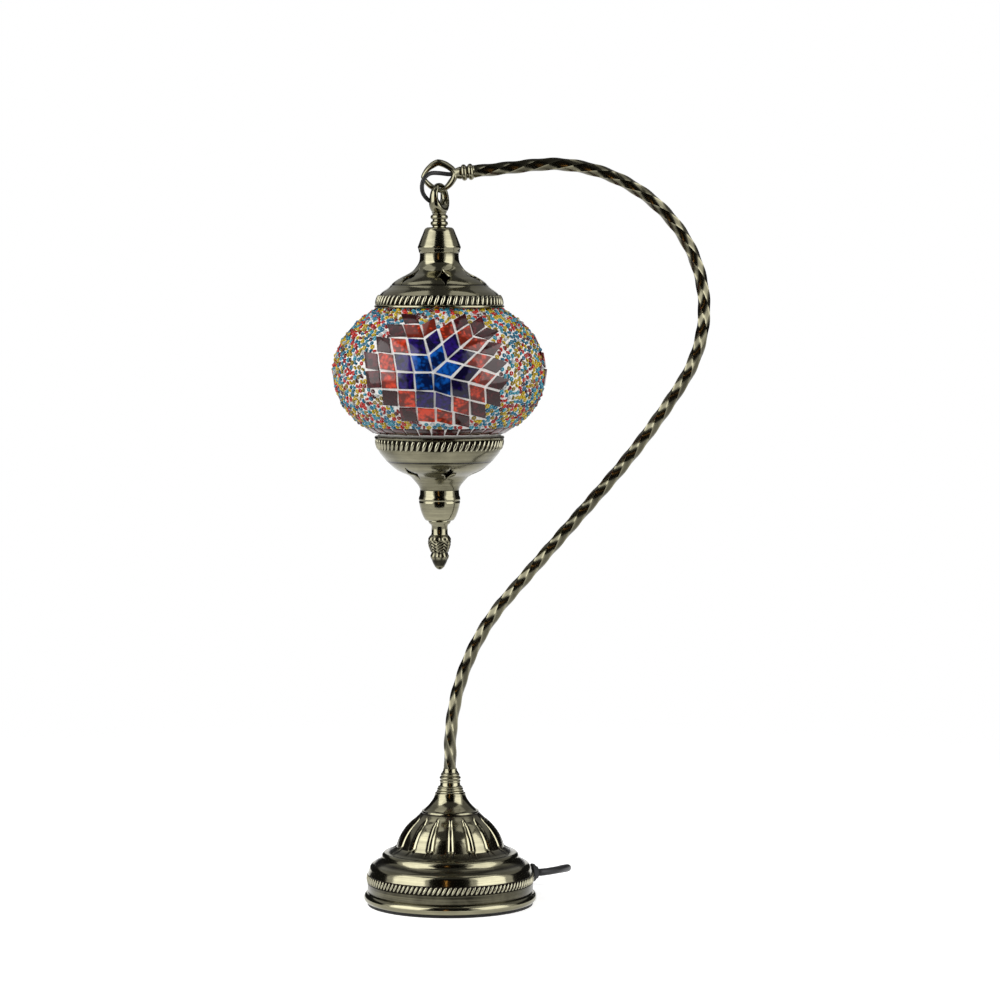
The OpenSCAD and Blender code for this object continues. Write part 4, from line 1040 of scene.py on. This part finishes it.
def hooked(a):
    """1 where the eyes hang in each other, and soon 0 to both sides of it."""
    return math.cos(a - math.pi / 2) ** 8 if math.sin(a) > 0 else 0.0


def diamond(a):
    """Distance of the ring's wire from its middle: a diamond with bowed sides, lowest where the hook is."""
    high = 9.3 if math.sin(a) > 0 else 7.6
    return (abs(math.cos(a) / 9.6) ** 1.45 + abs(math.sin(a) / high) ** 1.45) ** (-1 / 1.45)


def arm_ring():
    bm = bmesh.new()
    turned(bm, two_beads(5, 8.6) + [(3.7, 9.2), (3.4, 10.4), (2.9, 11.6), (0, 12.4)], 40)
    turn = Vector((0, 0, 1)).rotation_difference(TIP_DIR).to_matrix().to_4x4()
    bmesh.ops.transform(bm, matrix=Matrix.Translation(ARM_TIP * MM) @ turn, verts=bm.verts)
    cast_eye(bm, RING_MID, -TIP_DIR, TIP_DIR.cross(Vector((0, 1, 0))),
             radius=diamond,
             wide=lambda a: 4.4 + 1.5 * max(0, math.cos(a)) ** 2 + 0.6 * max(0, -math.sin(a)),
             thick=lambda a: 2.9 + 1.2 * max(0, math.cos(a)) ** 3,
             turn=lambda a: 0.9 * math.sin(a) * (1 - hooked(a)))
    return new_piece("cast_ring", bm, cast_bronze, smooth=34)


def hanger():
    bm = bmesh.new()
    turned(bm, two_beads(5.3, 8.4) + [(4.6, 8.9), (3.9, 10.2), (0, 10.8)], 40, at=(LANTERN_X, 0, HANGER_FOOT))
    cast_eye(bm, LOOP_MID, (math.cos(LOOP_TURN), math.sin(LOOP_TURN), 0), (0, 0, 1),
             radius=lambda a: 8.0 - 1.6 * max(0, -math.sin(a)) - 1.2 * math.cos(a) ** 2 * (1 - hooked(a)),
             wide=lambda a: 4.4 + 5.2 * (0.5 - 0.5 * math.sin(a)) ** 1.1,
             thick=lambda a: 2.9 + 4.4 * max(0, -math.sin(a)) + 1.4 * math.cos(a) ** 2 * (1 - hooked(a)),
             turn=lambda a: 0.4 * math.cos(a) * (1 - hooked(a)))
    return new_piece("cast_hanger", bm, cast_bronze, smooth=34)


put_on(arm_ring(), "stand", "antique_bronze", "arm_ring")
put_on(hanger(), "lantern", "antique_bronze", "hanger_loop")

# %% [markdown]
# ## Free lead at the hook
# A thin black lead leaves the arm inside the ring, hangs in a loop and goes down into the hanger. It has
# to give when the lantern swings, so it is made in two halves that meet in the middle: one runs between
# the stand and the hook, the other between the hook and the lantern.

# %% The free lead
LEAD_R, LEAD_STEPS, LEAD_SPLIT, LEAD_FOOT = 1.3, 8, 5, 420.44
lead_points = [ARM_TIP + 10.6 * TIP_DIR] + [RING_MID + Vector(p) for p in (
    (6, 0, 0.6), (0, -1.2, 1.2), (-5, -3.6, 1), (-8.6, -5.2, -1.6), (-10.2, -5.6, -6), (-9.8, -5, -10.6),
    (-7.4, -3.4, -14.2), (-4, -1.7, -16.6), (-1.4, -0.5, -18.4), (0, 0, -20.4))] + [
    Vector((LANTERN_X, 0, LEAD_FOOT))]
lead_line = [p * MM for p in smooth_path(lead_points, LEAD_STEPS)]


def lead_half(name, line):
    bm = bmesh.new()
    tube(bm, line, LEAD_R * MM, 12, (0, 1, 0))
    half = new_piece(name, bm, lead_skin)
    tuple(line[0])
    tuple(line[-1])
    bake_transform(half)
    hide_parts("lead_jumper")
    return half


cut_at = LEAD_STEPS * LEAD_SPLIT
lead_half("lead_from_arm", lead_line[:cut_at + 1])
lead_half("lead_to_lantern", lead_line[cut_at:])
print("free lead", round(length_of(lead_line), 4), "m")

# %% [markdown]
# ## Canopies, cups and finial
# Two spun caps close the globe. Each has a rolled lip, a rope band, a rounded shoulder, a groove and a
# flare up to its neck, with six star-shaped vents in the flare. The outline is turned into a thin shell,
# and star-shaped prisms are cut out of it. A cup covers each neck. The finial is a small cast bud with
# leaves and petals.

# %% The canopies
LIP = [(38.3, 0), (39.0, 0.2), (39.4, 0.8), (39.3, 1.6), (38.6, 2.1)]
TOP_CAP = LIP + [
    (38.0, 2.5), (36.6, 7.0), (36.7, 7.3), (36.3, 7.9), (35.5, 8.9), (34.3, 10.1), (32.5, 11.3), (30.9, 12.4),
    (30.0, 13.2), (29.5, 13.8), (29.0, 14.0), (28.6, 14.8), (27.4, 16.0), (25.6, 17.3), (23.4, 18.6),
    (21.0, 19.8), (18.6, 21.0), (16.7, 22.2), (15.2, 23.5), (14.2, 24.8), (13.2, 26.2), (12.4, 27.6),
    (11.95, 29.2), (11.8, 31.0), (11.8, NECK_H)]
LOW_CAP = LIP + [
    (38.2, 2.5), (37.1, 7.6), (37.3, 7.9), (37.2, 8.6), (36.7, 9.6), (35.9, 10.9), (34.7, 12.4), (33.4, 13.9),
    (32.6, 14.9), (32.1, 15.5), (31.6, 15.7), (31.2, 16.3), (30.2, 17.2), (28.9, 18.4), (27.3, 19.8),
    (25.2, 21.2), (22.6, 22.5), (19.6, 23.7), (17.4, 25.0), (16.0, 26.6), (14.8, 28.0), (13.6, 29.4),
    (12.6, 30.8), (12.0, 32.2), (11.8, NECK_H)]
VENTS, VENT_RING, VENT_SIZE, VENT_DEEP = 6, 22.4, 8.6, 16
VENT_LOW = {1: 12, -1: 28}


def star_prism(bm, place):
    """Adds an upright four-pointed prism with hollow sides."""
    corners = []
    for k in range(4):
        a, b = ((k + i) * math.pi / 2 for i in (0, 1))
        for t in (0, 0.3, 0.5, 0.7):
            side = (1 - t) * Vector((math.cos(a), math.sin(a), 0)) + t * Vector((math.cos(b), math.sin(b), 0))
            corners.append(side * VENT_SIZE / 2 * (1 - 0.14 * math.sin(math.pi * t)))
    low = [bm.verts.new((place @ c) * MM) for c in corners]
    high = [bm.verts.new((place @ (c + Vector((0, 0, VENT_DEEP)))) * MM) for c in corners]
    n = len(corners)
    for k in range(n):
        bm.faces.new((low[k], low[(k + 1) % n], high[(k + 1) % n], high[k]))
    bm.faces.new(low[::-1])
    bm.faces.new(high)


def vent_cutter(name, foot_z, way, first_vent, vent_long):
    """The prisms of all vents of a cap, as one object."""
    bm = bmesh.new()
    for i in range(VENTS):
        a = math.radians(first_vent + 360 / VENTS * i)
        place = Matrix.Translation((LANTERN_X + VENT_RING * math.cos(a), VENT_RING * math.sin(a),
                                    foot_z + way * VENT_LOW[way]))
        star_prism(bm, place @ Matrix.Rotation(a, 4, "Z") @ Matrix.Diagonal((vent_long, 1, 1, 1)))
    return new_piece(name, bm, spun_lantern)


def canopy(name, outline, groove_h, foot_z, way, first_vent, vent_long):
    """A cap with its lip at foot_z; way is 1 with the neck up, -1 with the neck down."""
    skin = outline + [(r - 1.1, h - (0.2 if r > 37 else 0.9)) for r, h in reversed(outline)] + outline[:1]
    cap = turned_piece(name, [(r, foot_z + way * h) for r, h in skin], 256, spun_lantern, 32, ON_AXIS)
    cutter = vent_cutter(name + "_vents", foot_z, way, first_vent, vent_long)
    cut = cap.modifiers.new("vents", "BOOLEAN")
    cut.operation, cut.object, cut.solver = "DIFFERENCE", cutter, "EXACT"
    mesh = evaluated_mesh(cap)
    cap.modifiers.clear()
    cap.data = mesh
    bpy.data.objects.remove(cutter)

    def bath_and_shade(x, y, z):
        h = way * (z - foot_z)
        # Black bath and painted shade in lines: in the groove, at the lip and where the cup meets the neck.
        lines = (share * math.exp(-((h - at) / wide) ** 2)
                 for share, at, wide in ((0.8, groove_h, 0.45), (0.6, 2.2, 0.3), (0.7, 32.9, 0.5)))
        # Painted shade and black bath on the strip under the rope beads; the lower cap is painted darker all
        # over, as shade.
        return max(0.95 * (2.3 < h < 7.7), 0.16 * (way < 0), *lines)

    blacken(mesh, bath_and_shade)
    return cap


top_cap = canopy("top_cap", TOP_CAP, 14.0, LIP_TOP, 1, -81.4, 1.8)
bottom_cap = canopy("bottom_cap", LOW_CAP, 15.7, LIP_LOW, -1, -75, 1.5)
put_on(top_cap, "lantern", "antique_bronze", "top_canopy")
put_on(bottom_cap, "lantern", "antique_bronze", "bottom_canopy")
rope_band("top_rope", "lantern", (LANTERN_X, 0, LIP_TOP + 4.9), 63, 37.6, 7.0, 2.5, 2.0, -20, -15)
rope_band("bottom_rope", "lantern", (LANTERN_X, 0, LIP_LOW - 5.2), 63, 37.9, 7.2, 2.5, 2.0, -20, 12)

# %% The cups
TOP_CUP = (
    (10.8, -0.6), (12.0, 0.0), (12.3, 0.5), (12.5, 1.6), (12.7, 2.6), (13.0, 3.1), (13.05, 3.8), (12.8, 4.4),
    (12.3, 5.8), (11.7, 7.4), (11.0, 9.2), (10.2, 11.1), (9.5, 12.9), (8.9, 14.3), (8.3, 15.1), (7.4, 15.5),
    (6.4, CUP_H), (2.0, CUP_H), (2.0, 14.0), (7.6, 13.4), (9.6, 9.0), (11.2, 4.0), (10.8, -0.6))
LOW_CUP = (
    (0.5, 0.0), (8.2, 0.0), (8.9, 0.5), (9.4, 1.4), (10.2, 2.8), (10.9, 4.6), (11.5, 6.4), (12.0, 8.4),
    (12.35, 10.4), (12.5, 11.6), (12.3, 12.0), (12.65, 12.6), (12.6, 13.6), (12.4, 14.4), (12.1, 15.0),
    (11.9, 16.4), (11.85, LOW_CUP_H), (10.8, LOW_CUP_H), (10.8, 14.0), (9.0, 4.0), (0.5, 1.2), (0.5, 0.0))
for name, outline, foot_z, solid in (("top_cup_turned", TOP_CUP, CUP_FOOT, "top_cup"),
                                     ("bottom_cup_turned", LOW_CUP, LOW_CUP_FOOT, "bottom_cup")):
    cup = turned_piece(name, [(r, foot_z + h) for r, h in outline], 128, spun_lantern, 36, ON_AXIS)
    put_on(cup, "lantern", "antique_bronze", solid)

# %% The finial
STEM = [(0.2, STEM_H), (6.7, STEM_H), (6.8, 8.6), (6.4, 7.5), (5.2, 6.6), (4.9, 5.6), (4.9, 1.6), (5.1, 0.6)]
BUD = [(5.1, 0.6), (6.2, -0.8), (6.7, -3.4), (6.4, -6.4), (5.4, -9.2), (5.0, -11.0), (5.3, -12.9),
       (4.7, -15.8), (3.3, -18.5), (1.4, -20.4), (0.2, -20.8)]


def scales(a, r, z):
    """Relief of the bud: knobs at its top, five veined leaves below them, then a flower of petal tips."""
    h = FINIAL_TOP - z
    if h < 0.6 or h > 18.5:
        return 0.0
    leaf = abs(((a + 1.78) * 5 / math.pi + 1) % 2 - 1)
    if h < 3.4:
        return (0.8 * abs(math.cos(5 * a + 0.6)) - 0.4) * math.sin(math.pi * (h - 0.6) / 2.8)
    if h < 10:
        rib = math.exp(-(leaf / 0.16) ** 2)
        vein = math.cos(2 * math.pi * (h + 2.4 * leaf) / 1.9)
        return 0.5 * rib + (1 - rib) * 0.34 * vein - 0.1
    lobe = abs(math.cos(4 * a + 0.5))
    return 0.65 * lobe * math.sin(math.pi * min(1, (h - 10) / 5)) - 0.25


def finial_bath_and_shade(x, y, z):
    if z >= FINIAL_TOP:
        return 0.0
    # Darker over the bud, most where its relief is low: black bath and painted shade.
    return max(0.0, min(0.85, 0.3 - 1.4 * scales(math.atan2(y, x - LANTERN_X), 1, z)))


def finial():
    bm = bmesh.new()
    turned(bm, [(r, FINIAL_TOP + h) for r, h in STEM], 96, ON_AXIS)
    body = smooth_path([(r, 0, h) for r, h in BUD], 8)
    turned(bm, [(p.x, FINIAL_TOP + p.z) for p in body], 96, ON_AXIS, ripple=scales)
    piece = new_piece("bud_finial", bm, cast_bronze, smooth=50)
    blacken(piece.data, finial_bath_and_shade)
    return piece


put_on(finial(), "lantern", "antique_bronze", "finial", "finial_stem")

# %% [markdown]
# ## Stained glass
# The mosaic's diamonds are cut from sheets of coloured glass: cobalt in the middle of the star, then
# navy, red and maroon. Each sheet is streaked and cloudy, so a tile shows bright and dark patches, and no
# two are alike. One group makes the patches. A tile's own number, kept in the attribute tint, moves the
# pattern and its brightness.

# %% Glass finishes
def stained_group():
    t, gin, gout = shade_group(
        "stained_glass", [("Place", "Vector", None), ("Deep", "Color", (0.02, 0.02, 0.1, 1)),
                          ("Bright", "Color", (0.1, 0.2, 0.8, 1)), ("Tint", "Float", 0.5),
                          ("Patches per metre", "Float", 170.0), ("Share", "Float", 0.5)],
        [("Color", "Color"), ("Height", "Float")])
    shift = vector_math(t, "SCALE", {0: (1.7, 3.1, 2.3), "Scale": (gin, "Tint")})
    moved = vector_math(t, "ADD", {0: (gin, "Place"), 1: (shift, 0)})
    cloud = noise(t, (moved, 0), (gin, "Patches per metre"), 3.0, Roughness=0.6, Distortion=0.8)
    cells = add(t, "ShaderNodeTexVoronoi", {"feature": "SMOOTH_F1"},
                {"Vector": (moved, 0), "Scale": 420.0, "Smoothness": 0.4})
    grainy = math_node(t, "MULTIPLY", (cells, 0), 0.35)
    value = math_node(t, "SUBTRACT", (cloud, 0), (grainy, 0))
    swing = map_range(t, (gin, "Tint"), 0.0, 1.0, -0.09, 0.12)
    lifted = math_node(t, "ADD", (value, 0), (swing, 0))
    offset = math_node(t, "SUBTRACT", (lifted, 0), (gin, "Share"))
    patch = map_range(t, (offset, 0), -0.16, 0.16, kind="SMOOTHSTEP")
    colour = mix_colour(t, (patch, 0), (gin, "Deep"), (gin, "Bright"))
    feed(t, gout, {"Color": (colour, 2), "Height": (cloud, 0)})
    return t


STAINED = stained_group()


def stained(name, deep, bright, share):
    mat, t, shader = finish(name, Roughness=0.09, Specular_IOR_Level=0.34)
    place, tint = place_of(t), own_number(t, "tint")
    glass = use_group(t, STAINED, {"Place": (place, 0), "Deep": (*deep, 1), "Bright": (*bright, 1),
                                   "Tint": (tint, "Fac"), "Share": share})
    feed(t, shader, {"Base Color": (glass, "Color")})
    bumped(t, shader, (glass, "Height"), 1.5e-4)
    return mat


cobalt = stained("cobalt_glass", (0.002, 0.008, 0.05), (0.005, 0.09, 0.42), 0.36)
navy = stained("navy_glass", (0.004, 0.003, 0.022), (0.02, 0.006, 0.15), 0.44)
red = stained("red_glass", (0.13, 0.014, 0.006), (0.72, 0.055, 0.016), 0.4)
maroon = stained("maroon_glass", (0.026, 0.003, 0.004), (0.1, 0.008, 0.012), 0.42)
print("glass finishes made")

# %% [markdown]
# ## Tiles
# The tiles lie where the solids put them. Here each is taken as an island of the solid's own mesh, nudged
# and turned by a hair as a hand would set it, and its edges are eased. Its number goes into the tint
# attribute.

# %% The tiles
GLOBE_R, GLOBE_RISE, GLOBE_CUT = 62.5, 45, 37.8
GLOBE_MID = Vector((LANTERN_X, 0, (LIP_TOP + LIP_LOW) / 2))
TILE_SINK, TILE_EASE = 0.5, 0.22
tile_tops = []


def islands(bm):
    """Groups of vertices that hang together."""
    left = set(bm.verts)
    while left:
        group, edge = [], [min(left, key=lambda v: v.index)]
        left.discard(edge[0])
        while edge:
            v = edge.pop()
            group.append(v)
            for e in v.link_edges:
                w = e.other_vert(v)
                if w in left:
                    left.discard(w)
                    edge.append(w)
        yield group


def set_tiles(name, node, material, slot, seed):
    rng = random.Random(seed)
    bm = bmesh.new()
    bm.from_mesh(nodes[node].data)
    bmesh.ops.remove_doubles(bm, verts=bm.verts, dist=1e-6)
    bmesh.ops.dissolve_limit(bm, angle_limit=0.02, verts=bm.verts, edges=bm.edges)
    bm.verts.index_update()
    layer = bm.verts.layers.float.new("tint")
    for group in list(islands(bm)):
        middle = sum((v.co for v in group), Vector()) / len(group)
        d = middle - GLOBE_MID * MM
        up = Vector((d.x / GLOBE_R ** 2, d.y / GLOBE_R ** 2, d.z / GLOBE_RISE ** 2)).normalized()
        turn = Matrix.Rotation(math.radians(rng.uniform(-5, 5)), 4, up)
        lean = Matrix.Rotation(math.radians(rng.uniform(-2.5, 2.5)), 4, up.orthogonal().normalized())
        size = Matrix.Scale(rng.uniform(0.97, 1.05), 4)
        sunk = middle - TILE_SINK * MM * up
        move = Matrix.Translation(sunk) @ lean @ turn @ size @ Matrix.Translation(-middle)
        tint = rng.random()
        for v in group:
            v.co = move @ v.co
            v[layer] = tint
        tile_tops.append((sunk, up, [v.co.copy() for v in group if (v.co - sunk).dot(up) > 0]))
    bmesh.ops.bevel(bm, geom=bm.edges[:], offset=TILE_EASE * MM, segments=2, affect="EDGES", profile=0.6)
    return put_on(new_piece(name, bm, material, smooth=20), "lantern", slot, node)


set_tiles("star_cobalt", "tiles_cobalt", cobalt, "cobalt_glass", 3)
set_tiles("star_navy", "tiles_navy", navy, "navy_glass", 5)
set_tiles("star_red", "tiles_red", red, "red_glass", 7)
set_tiles("star_maroon", "tiles_maroon", maroon, "maroon_glass", 11)
set_tiles("border_maroon", "tiles_border", maroon, "maroon_glass", 13)

# %% [markdown]
# ## Grout and beads
# White grout fills the joints, nearly flush with the glass. In it sit about seventeen hundred glass seed
# beads, short tubes with a hole, some lying and some on end. A tree scatters points over the part of the
# globe that the tiles leave free, no two nearer than a bead, and puts a bead on each. Its colour comes
# from a random number.

# %% The grout
GROUT_LIFT, GROUT_INNER = 1.5, 34.0
OPENING = math.asin(GLOBE_CUT / GLOBE_RISE)


def grout_line(share):
    """Radius and height of the grout: share runs from the lower opening at -1 to the upper one at 1."""
    e = share * OPENING
    return (GLOBE_R + GROUT_LIFT) * math.cos(e), (GLOBE_RISE + GROUT_LIFT) * math.sin(e)


def globe_point(angle, share):
    """A place on the grout, in metres."""
    r, z = grout_line(share)
    return (GLOBE_MID + Vector((r * math.cos(angle), r * math.sin(angle), z))) * MM


GROUT = ([(GROUT_INNER, -GLOBE_CUT)] + [grout_line(i / 40 - 1) for i in range(81)]
         + [(GROUT_INNER, GLOBE_CUT), (GROUT_INNER, -GLOBE_CUT)])
layer = turned_piece("grout_layer", [(r, GLOBE_MID.z + z) for r, z in GROUT], 192, grout, 60, ON_AXIS)
put_on(layer, "lantern", "grout", "mosaic_grout")

# %% The free field between the tiles
FIELD_ROUND, FIELD_UP, FIELD_SHARE = 460, 130, 0.985
TILE_MARGIN, TILE_REACH, BORDER_H = 1.05, 14, 5


def flat_tiles():
    """Each tile's middle, two directions in its plane and its outline in them."""
    for middle, up, corners in tile_tops:
        e = up.orthogonal().normalized()
        f = up.cross(e)
        flat = [((c - middle).dot(e), (c - middle).dot(f)) for c in corners]
        yield middle, e, f, sorted(flat, key=lambda q: (math.atan2(q[1], q[0]), *q))


def free_field():
    """A carrier mesh over the grout, without the places that tiles take."""
    tiles = list(flat_tiles())
    tree = KDTree(len(tiles))
    for i, tile in enumerate(tiles):
        tree.insert(tile[0], i)
    tree.balance()
    border_top = min(c.z for _, _, corners in tile_tops for c in corners) + BORDER_H * MM

    def covers(tile, p):
        middle, e, f, pts = tile
        x, y = (p - middle).dot(e), (p - middle).dot(f)
        return all(((bx - ax) * (y - ay) - (by - ay) * (x - ax)) / math.hypot(bx - ax, by - ay)
                   >= -TILE_MARGIN * MM for (ax, ay), (bx, by) in zip(pts, pts[1:] + pts[:1]))

    def free(p):
        return not any(covers(tiles[i], p) for _, i, _ in tree.find_range(p, TILE_REACH * MM))

    bm = bmesh.new()
    grid = [[bm.verts.new(globe_point(2 * math.pi * k / FIELD_ROUND, FIELD_SHARE * (2 * j / FIELD_UP - 1)))
             for k in range(FIELD_ROUND)] for j in range(FIELD_UP + 1)]
    for low, high in zip(grid, grid[1:]):
        for k in range(FIELD_ROUND):
            n = (k + 1) % FIELD_ROUND
            q = (low[k], low[n], high[n], high[k])
            if q[0].co.z > border_top and free((q[0].co + q[2].co) / 2):
                bm.faces.new(q)
    bmesh.ops.delete(bm, geom=[v for v in bm.verts if not v.link_faces], context="VERTS")
    mesh = bpy.data.meshes.new("free_field")
    bm.to_mesh(mesh)
    bm.free()
    return linked("free_field", mesh)


field = free_field()
area = sum(p.area for p in field.data.polygons) / MM ** 2
print("free field", len(field.data.polygons), "faces,", round(area), "mm2")

# %% The bead tree
BEAD_ROUND, BEAD_WALL = 8, 5


def bead_tree():
    t, gin, gout = geo_tree("seed_beads", [
        ("Spacing", "Float", 0.002), ("Bead radius", "Float", 0.0007), ("Wall", "Float", 0.00035),
        ("Long", "Float", 1.5), ("Lying share", "Float", 0.6), ("Seed", "Int", 4),
        ("Finish", "Material", None)])

    def drawn(low, high, seed):
        return add(t, "FunctionNodeRandomValue", {"data_type": "FLOAT"}, {2: low, 3: high, "Seed": seed})

    spots = add(t, "GeometryNodeDistributePointsOnFaces", {"distribute_method": "POISSON"},
                {"Mesh": (gin, "Geometry"), "Distance Min": (gin, "Spacing"), "Density Max": 2.5e6,
                 "Seed": (gin, "Seed")})
    ring, wall = circle(t, BEAD_ROUND, (gin, "Bead radius")), circle(t, BEAD_WALL, (gin, "Wall"))
    torus = add(t, "GeometryNodeCurveToMesh", None, {"Curve": (ring, 0), "Profile Curve": (wall, 0)})
    tall = combine(t, X=1.0, Y=1.0, Z=(gin, "Long"))
    bead = add(t, "GeometryNodeTransform", None, {"Geometry": (torus, 0), "Scale": (tall, 0)})
    lies = add(t, "FunctionNodeRandomValue", {"data_type": "BOOLEAN"},
               {"Probability": (gin, "Lying share"), "Seed": 21})
    wobble, spin, size = drawn(-0.3, 0.3, 22), drawn(0.0, 6.283, 23), drawn(0.88, 1.12, 24)
    quarter = math_node(t, "MULTIPLY", (lies, 3), math.pi / 2)
    tilt = math_node(t, "ADD", (quarter, 0), (wobble, 1))
    angles = combine(t, X=(tilt, 0), Z=(spin, 1))
    own = add(t, "FunctionNodeEulerToRotation", None, {0: (angles, 0)})
    turn = add(t, "FunctionNodeRotateRotation", {"rotation_space": "LOCAL"},
               {0: (spots, "Rotation"), 1: (own, 0)})
    beads = add(t, "GeometryNodeInstanceOnPoints", None,
                {"Points": (spots, 0), "Instance": (bead, 0), "Rotation": (turn, 0), "Scale": (size, 1)})
    colour = drawn(0.0, 1.0, 25)
    named = add(t, "GeometryNodeStoreNamedAttribute", {"data_type": "FLOAT", "domain": "INSTANCE"},
                {"Geometry": (beads, 0), "Name": "tint", "Value": (colour, 1)})
    return end_tree(t, gin, gout, (named, 0))


print("bead tree ready")

# %% The beads
BEAD_COLOURS = [
    (0.0, (0.006, 0.15, 0.26)), (0.18, (0.035, 0.29, 0.4)), (0.34, (0.54, 0.38, 0.001)),
    (0.52, (0.27, 0.185, 0.001)), (0.66, (0.5, 0.012, 0.004)), (0.82, (0.24, 0.005, 0.003)),
    (0.89, (0.07, 0.003, 0.005)), (0.96, (0.5, 0.54, 0.54))]


def bead_finish():
    mat, t, shader = finish("seed_bead_glass", Roughness=0.05, Specular_IOR_Level=0.45)
    place, tint = place_of(t), own_number(t, "tint")
    ramp = add(t, "ShaderNodeValToRGB", None, {0: (tint, "Fac")})
    stops = ramp.color_ramp
    stops.interpolation = "CONSTANT"
    while len(stops.elements) < len(BEAD_COLOURS):
        stops.elements.new(0.5)
    for element, (at, rgb) in zip(stops.elements, BEAD_COLOURS):
        element.position, element.color = at, (*rgb, 1)
    grain = use_group(t, GRAIN, {"Place": (place, 0), "Color": (ramp, 0), "Grains per metre": 900.0,
                                 "Contrast": 0.9})
    feed(t, shader, {"Base Color": (grain, "Color")})
    return mat


beads = grown("seed_beads", field, bead_tree(),
              {"Spacing": 2.75 * MM, "Bead radius": 1.0 * MM, "Wall": 0.58 * MM, "Long": 1.35,
               "Lying share": 0.45, "Seed": 4, "Finish": bead_finish()})
put_on(beads, "lantern", "cobalt_glass")
print("beads:", len(beads.data.polygons) // (BEAD_ROUND * BEAD_WALL))
